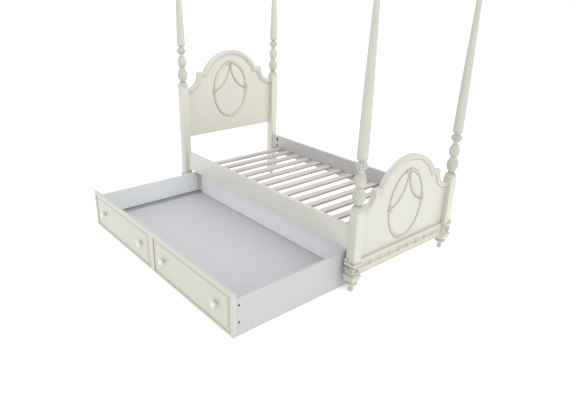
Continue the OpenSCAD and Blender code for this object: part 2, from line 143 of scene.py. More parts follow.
# The sun's azimuth is 0 when its light comes from -Y and 90 when it comes from -X
azimuth, elevation, sun_strength = math.radians(9), math.radians(42), 0.22
sunlight = -Vector((-math.sin(azimuth) * math.cos(elevation), -math.cos(azimuth) * math.cos(elevation),
                    math.sin(elevation)))
put_lamp("front_lamp", "SUN", sun_strength * math.pi, sunlight).data.angle = math.radians(40)
softbox_place, headboard_middle = Vector((bed_x - 0.1, -0.35, 1.7)), Vector((bed_x, 1.0, 0.6))
softbox = put_lamp("headboard_softbox", "AREA", 4.5, headboard_middle - softbox_place)
softbox.location = softbox_place
softbox.data.size = 1.2
softbox.visible_camera = False

# %% [markdown]
# ## Wiring helpers
#
# Every finish below is a small network of nodes. These helpers add a node, join two sockets and give
# a group its named inputs and outputs, so the cells that follow read like recipes.


# %% Helpers for node networks
def add_node(tree, kind, at, **settings):
    node = tree.nodes.new(kind)
    node.location = at
    for key, value in settings.items():
        setattr(node, key, value)
    return node


def join(tree, source, target):
    tree.links.new(source, target)


def new_group(name, inputs, outputs):
    """A shader node group with named inputs, given as (name, kind, default), and outputs."""
    tree = bpy.data.node_groups.new(name, "ShaderNodeTree")
    kinds = {"colour": "NodeSocketColor", "value": "NodeSocketFloat", "vector": "NodeSocketVector"}
    for label, kind, default in inputs:
        socket = tree.interface.new_socket(label, in_out="INPUT", socket_type=kinds[kind])
        socket.default_value = default
    for label, kind in outputs:
        tree.interface.new_socket(label, in_out="OUTPUT", socket_type=kinds[kind])
    return tree, add_node(tree, "NodeGroupInput", (-1200, 0)), add_node(tree, "NodeGroupOutput", (900, 0))


def sums(tree, operation, a, b, at=(0, 0), clamp=False):
    """One Math node. a and b are sockets or numbers."""
    node = add_node(tree, "ShaderNodeMath", at, operation=operation, use_clamp=clamp)
    for socket, given in zip(node.inputs, (a, b)):
        if isinstance(given, bpy.types.NodeSocket):
            join(tree, given, socket)
        else:
            socket.default_value = given
    return node.outputs[0]


def blend_colours(tree, factor, a, b, at=(0, 0)):
    node = add_node(tree, "ShaderNodeMix", at, data_type="RGBA", blend_type="MIX")
    for socket, given in zip((node.inputs[0], node.inputs[6], node.inputs[7]), (factor, a, b)):
        if isinstance(given, bpy.types.NodeSocket):
            join(tree, given, socket)
        else:
            socket.default_value = given
    return node.outputs[2]


def noise_at(tree, vector, scale, detail=3.0, rough=0.5, at=(0, 0)):
    node = add_node(tree, "ShaderNodeTexNoise", at)
    node.inputs["Detail"].default_value = detail
    node.inputs["Roughness"].default_value = rough
    join(tree, vector, node.inputs["Vector"])
    if isinstance(scale, bpy.types.NodeSocket):
        join(tree, scale, node.inputs["Scale"])
    else:
        node.inputs["Scale"].default_value = scale
    return node.outputs["Fac"]


# %% [markdown]
# ## Effects that several finishes share
#
# Sprayed furniture paint is never one flat colour. It clouds a little and it has a fine skin like orange
# peel. The hollows of the carving are also painted darker and yellower, as painted shade. The group
# below makes these three effects, and finds the hollows by how much of the view from a point its
# own piece hides.


# %% Group: sprayed paint with painted shade in its hollows
def make_paint_with_hollow_shade():
    tree, given, out = new_group(
        "paint_with_hollow_shade",
        [("Paint Colour", "colour", (0.8, 0.8, 0.75, 1)), ("Glaze Colour", "colour", (0.4, 0.35, 0.25, 1)),
         ("Glaze In Hollows", "value", 0.5), ("Hollow Reach", "value", 0.01),
         ("Cloud Size", "value", 3.0), ("Cloud Strength", "value", 0.03), ("Sheen Roughness", "value", 0.35)],
        [("Colour", "colour"), ("Roughness", "value"), ("Height", "value")])
    place = add_node(tree, "ShaderNodeTexCoord", (-1200, -300)).outputs["Object"]
    cloud = noise_at(tree, place, given.outputs["Cloud Size"], 4, 0.55, (-900, 200))
    shift = sums(tree, "MULTIPLY", sums(tree, "SUBTRACT", cloud, 0.5), given.outputs["Cloud Strength"])
    scale = add_node(tree, "ShaderNodeVectorMath", (-300, 200), operation="SCALE")
    join(tree, given.outputs["Paint Colour"], scale.inputs[0])
    join(tree, sums(tree, "ADD", sums(tree, "MULTIPLY", shift, 2.0), 1.0), scale.inputs["Scale"])
    # Painted shade: where the piece hides much of the view round a point, the paint is mixed towards a darker
    # tint.
    hidden = add_node(tree, "ShaderNodeAmbientOcclusion", (-600, -100), samples=8, only_local=True)
    join(tree, given.outputs["Hollow Reach"], hidden.inputs["Distance"])
    hollow = sums(tree, "SUBTRACT", 1.0, hidden.outputs["AO"], clamp=True)
    hollow_shade = sums(tree, "MULTIPLY", sums(tree, "MULTIPLY", hollow, 1.6), given.outputs["Glaze In Hollows"],
                 clamp=True)
    join(tree, blend_colours(tree, hollow_shade, scale.outputs[0], given.outputs["Glaze Colour"], (400, 200)),
         out.inputs["Colour"])
    peel = noise_at(tree, place, 260, 2, 0.5, (-900, -500))
    drag = noise_at(tree, place, 45, 3, 0.6, (-900, -700))
    join(tree, sums(tree, "ADD", sums(tree, "MULTIPLY", peel, 0.6), sums(tree, "MULTIPLY", drag, 0.4)),
         out.inputs["Height"])
    uneven = sums(tree, "MULTIPLY", sums(tree, "SUBTRACT", drag, 0.5), 0.16)
    join(tree, sums(tree, "ADD", uneven, given.outputs["Sheen Roughness"], clamp=True),
         out.inputs["Roughness"])
    return tree


paint_with_hollow_shade = make_paint_with_hollow_shade()
print("group", paint_with_hollow_shade.name, "has", len(paint_with_hollow_shade.nodes), "nodes")

# %% [markdown]
# Softwood shows long streaks along the board, with finer pores between them. `planed_wood` stretches
# noise along the board's length, and can lay a thin coat of whitewash over the grain, as on the slats.
# `speckled_sheet` is the fine, even mottle of printed board, plated steel and moulded plastic.
# `faces_towards` gives a mask of the surfaces that face one way, for boards whose edges are left raw.
# `inside_box` gives a mask of the surfaces inside a box, such as the depths of drilled holes.


# %% Groups: planed wood, speckled sheet, faces towards a direction, and inside a box
def make_planed_wood():
    tree, given, out = new_group(
        "planed_wood",
        [("Early Wood", "colour", (0.7, 0.55, 0.4, 1)), ("Late Wood", "colour", (0.45, 0.3, 0.2, 1)),
         ("Stretch", "vector", (2.0, 60.0, 60.0)), ("Whitewash Colour", "colour", (0.8, 0.78, 0.75, 1)),
         ("Whitewash", "value", 0.0)],
        [("Colour", "colour"), ("Roughness", "value"), ("Height", "value")])
    place = add_node(tree, "ShaderNodeTexCoord", (-1200, -300)).outputs["Object"]
    long = add_node(tree, "ShaderNodeVectorMath", (-900, 0), operation="MULTIPLY")
    join(tree, place, long.inputs[0])
    join(tree, given.outputs["Stretch"], long.inputs[1])
    streak = noise_at(tree, long.outputs[0], 1.0, 5, 0.62, (-600, 100))
    pore = noise_at(tree, long.outputs[0], 7.0, 3, 0.6, (-600, -200))
    grain = add_node(tree, "ShaderNodeMapRange", (-300, 100))
    join(tree, streak, grain.inputs["Value"])
    grain.inputs["From Min"].default_value = 0.36
    grain.inputs["From Max"].default_value = 0.66
    wood = blend_colours(tree, grain.outputs[0], given.outputs["Early Wood"], given.outputs["Late Wood"])
    thin = sums(tree, "SUBTRACT", 1.0, sums(tree, "MULTIPLY", grain.outputs[0], 0.35))
    wash = sums(tree, "MULTIPLY", thin, given.outputs["Whitewash"], clamp=True)
    join(tree, blend_colours(tree, wash, wood, given.outputs["Whitewash Colour"]), out.inputs["Colour"])
    join(tree, sums(tree, "ADD", sums(tree, "MULTIPLY", pore, 0.25), 0.45), out.inputs["Roughness"])
    join(tree, sums(tree, "ADD", sums(tree, "MULTIPLY", streak, 0.5), sums(tree, "MULTIPLY", pore, 0.5)),
         out.inputs["Height"])
    return tree


def make_speckled_sheet():
    tree, given, out = new_group(
        "speckled_sheet",
        [("Sheet Colour", "colour", (0.7, 0.7, 0.7, 1)), ("Speck Colour", "colour", (0.5, 0.5, 0.5, 1)),
         ("Speck Size", "value", 120.0), ("Speck Strength", "value", 0.3), ("Evenness", "value", 0.4)],
        [("Colour", "colour"), ("Roughness", "value"), ("Height", "value")])
    place = add_node(tree, "ShaderNodeTexCoord", (-1200, -300)).outputs["Object"]
    speck = noise_at(tree, place, given.outputs["Speck Size"], 3, 0.7, (-600, 100))
    patch = noise_at(tree, place, 2.5, 3, 0.5, (-600, -200))
    both = sums(tree, "ADD", sums(tree, "MULTIPLY", speck, 0.65), sums(tree, "MULTIPLY", patch, 0.35))
    spread = add_node(tree, "ShaderNodeMapRange", (-200, 100))
    join(tree, both, spread.inputs["Value"])
    spread.inputs["From Min"].default_value = 0.35
    spread.inputs["From Max"].default_value = 0.65
    share = sums(tree, "MULTIPLY", spread.outputs[0], given.outputs["Speck Strength"], clamp=True)
    join(tree, blend_colours(tree, share, given.outputs["Sheet Colour"], given.outputs["Speck Colour"]),
         out.inputs["Colour"])
    uneven = sums(tree, "MULTIPLY", sums(tree, "SUBTRACT", speck, 0.5), 0.2)
    join(tree, sums(tree, "ADD", uneven, given.outputs["Evenness"], clamp=True), out.inputs["Roughness"])
    join(tree, speck, out.inputs["Height"])
    return tree


def make_faces_towards():
    tree, given, out = new_group("faces_towards", [("Direction", "vector", (0, 0, 1))], [("Mask", "value")])
    normal = add_node(tree, "ShaderNodeNewGeometry", (-900, 0)).outputs["Normal"]
    turn_to = add_node(tree, "ShaderNodeVectorMath", (-600, 0), operation="DOT_PRODUCT")
    join(tree, normal, turn_to.inputs[0])
    join(tree, given.outputs["Direction"], turn_to.inputs[1])
    edge = add_node(tree, "ShaderNodeMapRange", (-300, 0))
    join(tree, turn_to.outputs["Value"], edge.inputs["Value"])
    edge.inputs["From Min"].default_value = 0.6
    edge.inputs["From Max"].default_value = 0.85
    join(tree, edge.outputs[0], out.inputs["Mask"])
    return tree


def make_inside_box():
    tree, given, out = new_group(
        "inside_box",
        [("Place", "vector", (0, 0, 0)), ("Low Corner", "vector", (0, 0, 0)),
         ("High Corner", "vector", (1, 1, 1))],
        [("Mask", "value")])
    inside = 1.0
    for k, (edge, order) in enumerate((("Low Corner", 1), ("High Corner", -1))):
        gap = add_node(tree, "ShaderNodeVectorMath", (-900, -300 * k), operation="SUBTRACT")
        join(tree, given.outputs["Place"], gap.inputs[0])
        join(tree, given.outputs[edge], gap.inputs[1])
        parts = add_node(tree, "ShaderNodeSeparateXYZ", (-700, -300 * k))
        join(tree, gap.outputs[0], parts.inputs[0])
        for axis in range(3):
            signed = sums(tree, "MULTIPLY", parts.outputs[axis], order)
            inside = sums(tree, "MULTIPLY", sums(tree, "GREATER_THAN", signed, 0.0), inside)
    join(tree, inside, out.inputs["Mask"])
    return tree


inside_box = make_inside_box()
planed_wood = make_planed_wood()
speckled_sheet = make_speckled_sheet()
faces_towards = make_faces_towards()
print("groups:", [g.name for g in bpy.data.node_groups])


# %% [markdown]
# ## Finishes
#
# A finish is one Principled shader. `new_finish` takes a group's colour, roughness and height and
# feeds them to the shader, with the height through a Bump node. Everything that is the same all over,
# such as the clear coat's weight or the metal's metallic value, is set on the shader itself.


# %% Helper: a finish from one group
def new_finish(name, group, bump=0.2, depth=0.0004, constants=None, **values):
    """A material with one group wired to its shader. values are the group's inputs, with _ for a space."""
    finish = bpy.data.materials.new(name)
    finish.use_nodes = True
    tree = finish.node_tree
    shader = tree.nodes["Principled BSDF"]
    effect = add_node(tree, "ShaderNodeGroup", (-600, 0), node_tree=group, label=group.name)
    for key, value in values.items():
        effect.inputs[key.replace("_", " ")].default_value = value
    join(tree, effect.outputs["Colour"], shader.inputs["Base Color"])
    join(tree, effect.outputs["Roughness"], shader.inputs["Roughness"])
    surface = add_node(tree, "ShaderNodeBump", (-250, -300))
    surface.inputs["Strength"].default_value = bump
    surface.inputs["Distance"].default_value = depth
    join(tree, effect.outputs["Height"], surface.inputs["Height"])
    join(tree, surface.outputs["Normal"], shader.inputs["Normal"])
    for key, value in (constants or {}).items():
        shader.inputs[key].default_value = value
    return finish


def two_way_colour(finish, direction, other_colour):
    """Gives the surfaces that face a direction another colour, such as a board's raw face."""
    tree = finish.node_tree
    shader = tree.nodes["Principled BSDF"]
    first = shader.inputs["Base Color"].links[0].from_socket
    mask = add_node(tree, "ShaderNodeGroup", (-600, 300), node_tree=faces_towards)
    mask.inputs["Direction"].default_value = direction
    mixed = blend_colours(tree, mask.outputs["Mask"], first, other_colour, (-250, 200))
    join(tree, mixed, shader.inputs["Base Color"])
    return finish


def darken_inside(finish, low, high, colour):
    """Gives the surfaces inside a box, in metres, another colour."""
    tree = finish.node_tree
    shader = tree.nodes["Principled BSDF"]
    place = add_node(tree, "ShaderNodeTexCoord", (-1500, 500)).outputs["Object"]
    mask = add_node(tree, "ShaderNodeGroup", (-900, 500), node_tree=inside_box)
    join(tree, place, mask.inputs["Place"])
    mask.inputs["Low Corner"].default_value = low
    mask.inputs["High Corner"].default_value = high
    first = shader.inputs["Base Color"].links[0].from_socket
    mixed = blend_colours(tree, mask.outputs["Mask"], first, colour, (-100, 400))
    join(tree, mixed, shader.inputs["Base Color"])
    return finish


# %% [markdown]
# The cream is a satin furniture lacquer with a thin clear coat. On the bed it is most likely one paint.
# Here it is mixed lighter or darker for some pieces, to make up for what this simple studio light gets
# wrong on them, and most carved pieces take more painted shade in their hollows than flat boards. The
# side rails are painted outside and sealed in grey inside, and their top edges are toned down.

# %% Cream finishes
cream = (0.58, 0.573, 0.50, 1)
# The darker, yellowish tint that is painted into hollows as shade.
shade_tint_in_hollows = (0.26, 0.235, 0.14, 1)
satin_coat = {"Coat Weight": 0.25, "Coat Roughness": 0.18, "Specular IOR Level": 0.5}


def cream_mix(name, colour, hollows, reach, clouds=(9.0, 0.03), sheen=0.38, bump=0.15, hollow_shade=shade_tint_in_hollows):
    """clouds is the size and strength of the paint's clouding; hollows is how much painted shade goes in
    them.
    """
    return new_finish(name, paint_with_hollow_shade, bump, constants=satin_coat, Paint_Colour=colour,
                      Glaze_Colour=hollow_shade, Glaze_In_Hollows=hollows, Hollow_Reach=reach,
                      Cloud_Size=clouds[0], Cloud_Strength=clouds[1], Sheen_Roughness=sheen)


flat_board = {"clouds": (2.2, 0.02), "sheen": 0.36, "bump": 0.12}
cream_paint = cream_mix("cream_paint", cream, 0.45, 0.008, **flat_board)
carved_cream = cream_mix("carved_cream", cream, 1.0, 0.009)
turned_cream = cream_mix("turned_cream", (0.50, 0.50, 0.445, 1), 0.7, 0.010, (4.0, 0.03), 0.34, 0.12)
carved_turning = cream_mix("carved_turning", (0.52, 0.52, 0.465, 1), 1.0, 0.008, (9.0, 0.05), 0.36)
drawer_cream = cream_mix("drawer_cream", (0.535, 0.53, 0.46, 1), 1.0, 0.008, **flat_board)
# A dark olive mix for the painted shadow lines along the applied beads.
bead_shadow_paint = cream_mix("bead_shadow_paint", (0.27, 0.255, 0.165, 1), 0.5, 0.008, (9.0, 0.08), 0.42)
frieze_cream = cream_mix("frieze_cream", cream, 0.5, 0.006)
# The plinths take the most painted shade in their hollows, in a browner tint, for the deep shade round their
# carving.
plinth_carving = cream_mix("plinth_carving", cream, 1.3, 0.014, (9.0, 0.05), 0.40,
                           hollow_shade=(0.19, 0.16, 0.085, 1))

sealer_grey, rail_cream, hole_core_and_shade = (0.46, 0.46, 0.455, 1), (0.71, 0.705, 0.645, 1), (0.012, 0.010, 0.009, 1)
rail_finishes = {}
for rail, inward, top_colour in (("rail_near", (1, 0, 0), (0.54, 0.54, 0.485, 1)),
                                 ("rail_far", (-1, 0, 0), (0.44, 0.44, 0.43, 1))):
    finish = cream_mix("cream_" + rail, rail_cream, 0.3, 0.008, **flat_board)
    two_way_colour(finish, inward, sealer_grey)
    rail_finishes[rail] = two_way_colour(finish, (0, 0, 1), top_colour)
    low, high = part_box(rail)
    inner = (high.x - 0.024, high.x - 0.002) if rail == "rail_near" else (low.x + 0.002, low.x + 0.024)
    # The depths of the bolt holes are painted near black: partly the bare dark core of the board, partly
    # painted shade.
    darken_inside(finish, (inner[0], low.y + 0.02, low.z + 0.01), (inner[1], high.y - 0.02, high.z - 0.01),
                  hole_core_and_shade)
print("cream finishes:", [m.name for m in bpy.data.materials if "cream" in m.name])

# %% [markdown]
# The slats are softwood with a thin whitewash on their faces and brown, unpainted edges. The drawer
# box is faced with a cool grey-white sheet and its bottom with a faintly violet one. The sheet is
# mixed lighter for the boards that the light reaches least. Two dark lines stand for shaded gaps: one
# along the strips' foot and one where the bottom meets the back. Knobs are a pale cast metal, and the
# hidden hardware is zinc-plated or blackened steel with plastic wheels.

# %% Wood, sheet and metal finishes
slat_wood = new_finish("whitewashed_slat", planed_wood, 0.3, 0.0006, Early_Wood=(0.43, 0.37, 0.32, 1),
                       Late_Wood=(0.30, 0.25, 0.21, 1), Stretch=(2.2, 55, 55),
                       Whitewash_Colour=(0.60, 0.58, 0.585, 1), Whitewash=0.2)
slat_tree = slat_wood.node_tree
slat_group = next(n for n in slat_tree.nodes if n.type == "GROUP")
up_mask = add_node(slat_tree, "ShaderNodeGroup", (-900, 300), node_tree=faces_towards)
wash_amount = sums(slat_tree, "ADD", sums(slat_tree, "MULTIPLY", up_mask.outputs["Mask"], 0.75), 0.15)
join(slat_tree, wash_amount, slat_group.inputs["Whitewash"])
ledger_wood = new_finish("ledger_softwood", planed_wood, 0.3, 0.0006, Early_Wood=(0.50, 0.42, 0.33, 1),
                         Late_Wood=(0.36, 0.28, 0.21, 1), Stretch=(55, 2.2, 55),
                         Whitewash_Colour=(0.7, 0.67, 0.63, 1), Whitewash=0.35)
bearer_wood = new_finish("bearer_softwood", planed_wood, 0.3, 0.0006, Early_Wood=(0.58, 0.46, 0.32, 1),
                         Late_Wood=(0.42, 0.30, 0.19, 1), Stretch=(2.2, 55, 55))


def sheet_mix(name, sheet, speck, size=90, evenness=0.42, bump=0.08):
    return new_finish(name, speckled_sheet, bump, constants={"Specular IOR Level": 0.4}, Sheet_Colour=sheet,
                      Speck_Colour=speck, Speck_Size=size, Speck_Strength=0.5, Evenness=evenness)


box_sheet = sheet_mix("drawer_box_sheet", (0.50, 0.51, 0.51, 1), (0.455, 0.47, 0.48, 1))
head_sheet = sheet_mix("drawer_head_sheet", (0.72, 0.745, 0.755, 1), (0.66, 0.69, 0.70, 1))
back_sheet = sheet_mix("drawer_back_sheet", (0.94, 0.96, 0.98, 1), (0.88, 0.90, 0.93, 1))
floor_sheet = sheet_mix("drawer_floor_sheet", (0.56, 0.56, 0.59, 1), (0.52, 0.52, 0.55, 1), 70, 0.45, 0.06)
strip_sheet = sheet_mix("strip_sheet", (0.55, 0.56, 0.53, 1), (0.50, 0.51, 0.48, 1), evenness=0.45)
bottom_low, bottom_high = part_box("trundle_bottom")
strips_low, strips_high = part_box("box_strips")
clear = Vector((0.01, 0.01, 0.01))
band_top = Vector((*(strips_high + clear).xy, bottom_high.z + 0.0245))
strip_shadow_line_low = Vector((*(strips_low - clear).xy, bottom_high.z + 0.0205))
# The strips are mixed darker grey up to just above the floor, and a painted shadow line runs along their top
# edge.
darken_inside(strip_sheet, strips_low - clear, band_top, (0.33, 0.34, 0.37, 1))
darken_inside(strip_sheet, strip_shadow_line_low, band_top, (0.16, 0.16, 0.18, 1))
# A painted shadow line, near black, runs along the back edge of the drawer's bottom where a thin gap would be
# shaded.
back_gap_shadow_low = bottom_low - clear
back_gap_shadow_low.x = bottom_high.x - 0.004
darken_inside(floor_sheet, back_gap_shadow_low, bottom_high + clear, (0.07, 0.07, 0.075, 1))
pale_silver = new_finish("pale_silver", speckled_sheet, 0.1,
                         constants={"Metallic": 0.75, "Coat Weight": 0.2},
                         Sheet_Colour=(0.74, 0.76, 0.76, 1), Speck_Colour=(0.60, 0.62, 0.62, 1),
                         Speck_Size=300, Speck_Strength=0.4, Evenness=0.28)
zinc_plate = new_finish("zinc_plate", speckled_sheet, 0.15, constants={"Metallic": 1.0},
                        Sheet_Colour=(0.55, 0.56, 0.58, 1), Speck_Colour=(0.40, 0.41, 0.43, 1),
                        Speck_Size=180, Speck_Strength=0.7, Evenness=0.35)
black_steel = new_finish("black_steel", speckled_sheet, 0.15, constants={"Metallic": 0.9},
                         Sheet_Colour=(0.035, 0.032, 0.03, 1), Speck_Colour=(0.08, 0.075, 0.07, 1),
                         Speck_Size=400, Speck_Strength=0.5, Evenness=0.4)
wheel_plastic = new_finish("wheel_plastic", speckled_sheet, 0.12, constants={"Specular IOR Level": 0.4},
                           Sheet_Colour=(0.045, 0.047, 0.05, 1), Speck_Colour=(0.09, 0.092, 0.095, 1),
                           Speck_Size=500, Speck_Strength=0.5, Evenness=0.5)
print(len(bpy.data.materials), "finishes in all")


# %% [markdown]
# ## Making pieces
#
# `put_in` turns vertices and faces into an object, shades it smoothly between its sharp edges, gives
# it a finish and lets it ride on a body of the frame. `soften` is for the CAD parts whose shape is
# already right: it only rounds their sharp edges a little, because no sprayed edge is a knife edge.


# %% Helpers: put a piece in, soften a CAD part
def shaded(mesh, sharp_angle=32):
    mesh.polygons.foreach_set("use_smooth", [True] * len(mesh.polygons))
    mesh.set_sharp_from_angle(angle=math.radians(sharp_angle))
    mesh.update()
    return mesh


def mesh_from(name, vertices, faces, sharp_angle=32):
    """A mesh from metre coordinates, with its normals turned outwards and its edges sorted."""
    mesh = bpy.data.meshes.new(name)
    mesh.from_pydata([tuple(v) for v in vertices], [], faces)
    work = bmesh.new()
    work.from_mesh(mesh)
    bmesh.ops.remove_doubles(work, verts=work.verts, dist=1e-6)
    bmesh.ops.recalc_face_normals(work, faces=work.faces)
    work.to_mesh(mesh)
    work.free()
    return shaded(mesh, sharp_angle)


def put_in(name, mesh, finish, body, stands_for=(), at=(0, 0, 0)):
    piece = bpy.data.objects.new(name, mesh)
    bpy.context.scene.collection.objects.link(piece)
    piece.location = at
    if not mesh.materials:
        mesh.materials.append(finish)
    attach(piece, body)
    if stands_for:
        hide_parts(*stands_for)
    return piece


def soften(node, finish, edge=0.0012, segments=2):
    """Keeps a CAD part, rounds its edges with modifiers and gives it a finish."""
    part = frame["nodes"][node]
    part.data.materials.clear()
    part.data.materials.append(finish)
    if edge:
        weld = part.modifiers.new("weld", "WELD")
        weld.merge_threshold = 1e-5
        bevel = part.modifiers.new("eased_edges", "BEVEL")
        bevel.width, bevel.segments, bevel.limit_method = edge, segments, "ANGLE"
        bevel.angle_limit = math.radians(50)
        bevel.use_clamp_overlap = True
    return part


# %% [markdown]
# ## Turning
#
# A turner reads a profile from bottom to top: fillets and beads meet at crisp corners, and coves and
# swells flow. So a profile here is a list of runs. Inside a run the line is smooth, and where one run
# ends and the next begins there is a corner. `turn` spins the profile, and a carving rule can push
# each point in or out along the surface, as a carver would cut leaves into the turned blank.


# %% Helper: spin a profile and carve it
def smooth_line(points, spacing):
    """Points close together on a smooth line through the given ones."""
    p = np.array(points, float)
    if len(p) == 2:
        n = max(1, int(round(np.linalg.norm(p[1] - p[0]) / spacing)))
        return [p[0] + (p[1] - p[0]) * k / n for k in range(n + 1)]
    ends = np.vstack([2 * p[0] - p[1], p, 2 * p[-1] - p[-2]])
    line = []
    for a, b, c, d in zip(ends, ends[1:], ends[2:], ends[3:]):
        n = max(1, int(round(np.linalg.norm(c - b) / spacing)))
        for t in np.arange(n) / n:
            line.append(0.5 * (2 * b + (c - a) * t + (2 * a - 5 * b + 4 * c - d) * t**2
                               + (3 * b - a - 3 * c + d) * t**3))
    return line + [p[-1]]


def turn(name, runs, sides=72, spacing=2.5, carve=None, hollow=False, sharp_angle=32, spin="Z"):
    """Spins runs of (radius, height) in mm about the vertical. carve(angle, height, radius) gives mm.
    hollow leaves a bore in a profile that ends where it began."""
    line = []
    for run in runs:
        for point in smooth_line(run, spacing):
            if not line or np.linalg.norm(point - line[-1]) > 0.02:
                line.append(point)
    line = np.array(line)
    if hollow and np.linalg.norm(line[0] - line[-1]) < 0.02:
        line = line[:-1]
    along = np.gradient(line, axis=0) if len(line) > 2 else np.zeros_like(line)
    length = np.linalg.norm(along, axis=1)
    length[length == 0] = 1
    out_r, out_z = along[:, 1] / length, -along[:, 0] / length
    angles = np.arange(sides) * 2 * math.pi / sides
    vertices, rings = [], []
    for (r, z), nr, nz in zip(line, out_r, out_z):
        if r < 0.05:
            rings.append([len(vertices)])
            vertices.append((0, 0, z))
            continue
        push = carve(angles, z, r) if carve else 0 * angles
        rings.append(list(range(len(vertices), len(vertices) + sides)))
        radius, height = r + nr * push, z + nz * push
        vertices += list(zip(radius * np.cos(angles), radius * np.sin(angles), height))
    faces = []
    pairs = list(zip(rings, rings[1:])) + ([(rings[-1], rings[0])] if hollow else [])
    for low, high in pairs:
        for k in range(sides):
            m = (k + 1) % sides
            if len(low) == 1:
                faces.append((low[0], high[m], high[k]))
            elif len(high) == 1:
                faces.append((low[k], low[m], high[0]))
            else:
                faces.append((low[k], low[m], high[m], high[k]))
    if not hollow:
        faces += [tuple(r) for r in (rings[0][::-1], rings[-1]) if len(r) > 1]
    mesh = mesh_from(name, np.array(vertices) * 0.001, faces, sharp_angle)
    if spin == "Y":
        mesh.transform(Matrix.Rotation(math.radians(90), 4, "X"))
    if spin == "-X":
        mesh.transform(Matrix.Rotation(math.radians(-90), 4, "Y"))
    print(f"{name}: {len(mesh.vertices)} points")
    return mesh


# %% [markdown]
# ## The posts
#
# Each post is a square block with four carved turnings stacked on it: a leafy collar, a ball cut all
# over with small scales, a vase wrapped in upright leaves, and a cup of petals under the long shaft.
# Carving rules are built from waves round the post. A wave's sharp valleys read as the cuts between
# leaves, and a second, finer wave inside each leaf reads as its veins.


# %% Carving rules for the turnings
def bump_between(value, low, high, soft):
    """1 between two heights, and falling smoothly to 0 outside them."""
    return np.clip(min(value - low, high - value) / soft, 0, 1)


def upright_leaves(count, base, tip, depth, veins=3):
    """Leaves that stand round a turning, wide at the base height and closing to points at the tip."""

    def carve(angle, z, r):
        t = np.clip((z - base) / (tip - base), 0, 1)
        across = np.abs(((angle * count / (2 * math.pi)) % 1) * 2 - 1)
        half = max(1e-3, (1 - t**2.2) ** 0.5 * 0.96)
        inside = np.clip((half - across) / 0.16, 0, 1)
        vein = 0.32 * np.cos(across / half * math.pi * veins) * inside
        midrib = 0.5 * np.exp(-((across / 0.09) ** 2))
        lift = 0.35 + 0.65 * t
        shown = bump_between(z, base - 0.5, tip + 4, 1.5)
        return depth * shown * ((inside**0.5 - 0.75) * lift + (vein + midrib - 0.3) * inside * 0.55)

    return carve


def scaled_ball(angle, z, r):
    """Rows of overlapping scales, set like bricks round the ball."""
    row = (z - 40) / 13.5
    shift = (np.floor(row) % 2) * 0.5
    across = ((angle * 9 / (2 * math.pi) + shift) % 1) * 2 - 1
    up = row % 1
    edge = 1 - np.clip(across**2 + (up * 0.9) ** 2, 0, 1)
    fade = bump_between(z, 42, 138, 7)
    return fade * (3.6 * edge**0.5 - 2.4 + 0.5 * np.exp(-((across / 0.16) ** 2)))


def petal_cup(angle, z, r):
    petals = np.abs(np.cos(angle * 5))
    shown = bump_between(z, 258, 307, 6)
    return shown * (4.4 * petals**0.6 - 3.0 + 0.5 * np.cos(angle * 40) * petals)


# %% Profiles of the turnings, in mm above the top of the block
def swelling(low, high, neck, full, peak, count=15):
    """Points on a swelling between two heights, fullest at fraction peak of the way up."""
    line = []
    for t in np.linspace(0, 1, count):
        k = t / peak if t < peak else (1 - t) / (1 - peak)
        line.append((neck + (full - neck) * math.sin(math.pi / 2 * k) ** 0.75, low + (high - low) * t))
    return line


collar_runs = [
    [(0, 0), (38, 0)], [(38, 0), (39.6, 2.5), (40, 5), (39.4, 10), (36, 17), (29, 25), (23, 31),
    (19.6, 36)], [(19.6, 36), (19, 38)], [(19, 38), (0, 38)]
]
ball_run = swelling(36, 144, 19, 40.5, 0.5)
ball_runs = [[(0, 36), ball_run[0]], ball_run, [ball_run[-1], (0, 144)]]
vase_run = [p for p in swelling(144, 254, 19, 37, 0.45) if p[1] <= 193]
vase_run += [(18 + 19 * (1 + math.cos(math.pi * (t - 0.45) / 0.55)) / 2, 144 + 110 * t)
             for t in np.linspace(0.5, 1, 9)]
vase_runs = [[(0, 143.5), (19, 143.5)], [(19, 143.5), (19, 144)], vase_run, [vase_run[-1], (0, 254)]]
cup_runs = [
    [(0, 253.5), (18, 253.5)], [(18, 253.5), (20, 256.5), (26, 264), (33, 272), (37.6, 279), (38.6, 283)],
    [(38.6, 283), (35.8, 285)], [(35.8, 285), (36.4, 287.5), (34.4, 292), (28.5, 300), (21.5, 306.5),
    (17.8, 309.5)], [(17.8, 309.5), (17.5, 311)], [(17.5, 311), (0, 311)]
]

# %% [markdown]
# The shaft is one long turning that swells just above its bulb and tapers to the finial. It tapers
# more quickly on the headboard posts, which are shorter between the block and the tip.


# %% Profile of the tapered shaft
def shaft_runs(run_top, bend):
    low = 338
    taper = [(34.5 - 21 * t**bend, low + (run_top - low) * t) for t in np.linspace(0, 1, 16)]
    return [
        [(0, 310.5), (17.5, 310.5)], [(17.5, 310.5), (19, 312), (24, 315.6), (29, 319), (31.4, 322)],
        [(31.4, 322), (32.6, 323.5), (33, 326)], [(33, 326), (31.6, 327.2)], [(31.6, 327.2), (31.8, 328.2)],
        [(31.8, 328.2), (33.6, 331), (34.3, 334.5)] + taper[:2], taper[1:], [taper[-1], (0, run_top)]]


# %% [markdown]
# The square block keeps crisp arrises that the paint has only just rounded. It is a box whose edges
# are all bevelled alike in the mesh.


# %% Helper: an eased block
def eased_block(name, low, high, ease=1.6, segments=3):
    """A box between two corners, in metres, with rounded edges of ease mm."""
    work = bmesh.new()
    bmesh.ops.create_cube(work, size=1)
    for v in work.verts:
        v.co = Vector([(a + b) / 2 + c * (b - a) for a, b, c in zip(low, high, v.co)])
    bmesh.ops.bevel(work, geom=list(work.edges), offset=ease * 0.001, segments=segments, profile=0.5,
                    affect="EDGES", clamp_overlap=True)
    mesh = bpy.data.meshes.new(name)
    work.to_mesh(mesh)
    work.free()
    return shaded(mesh, 40)


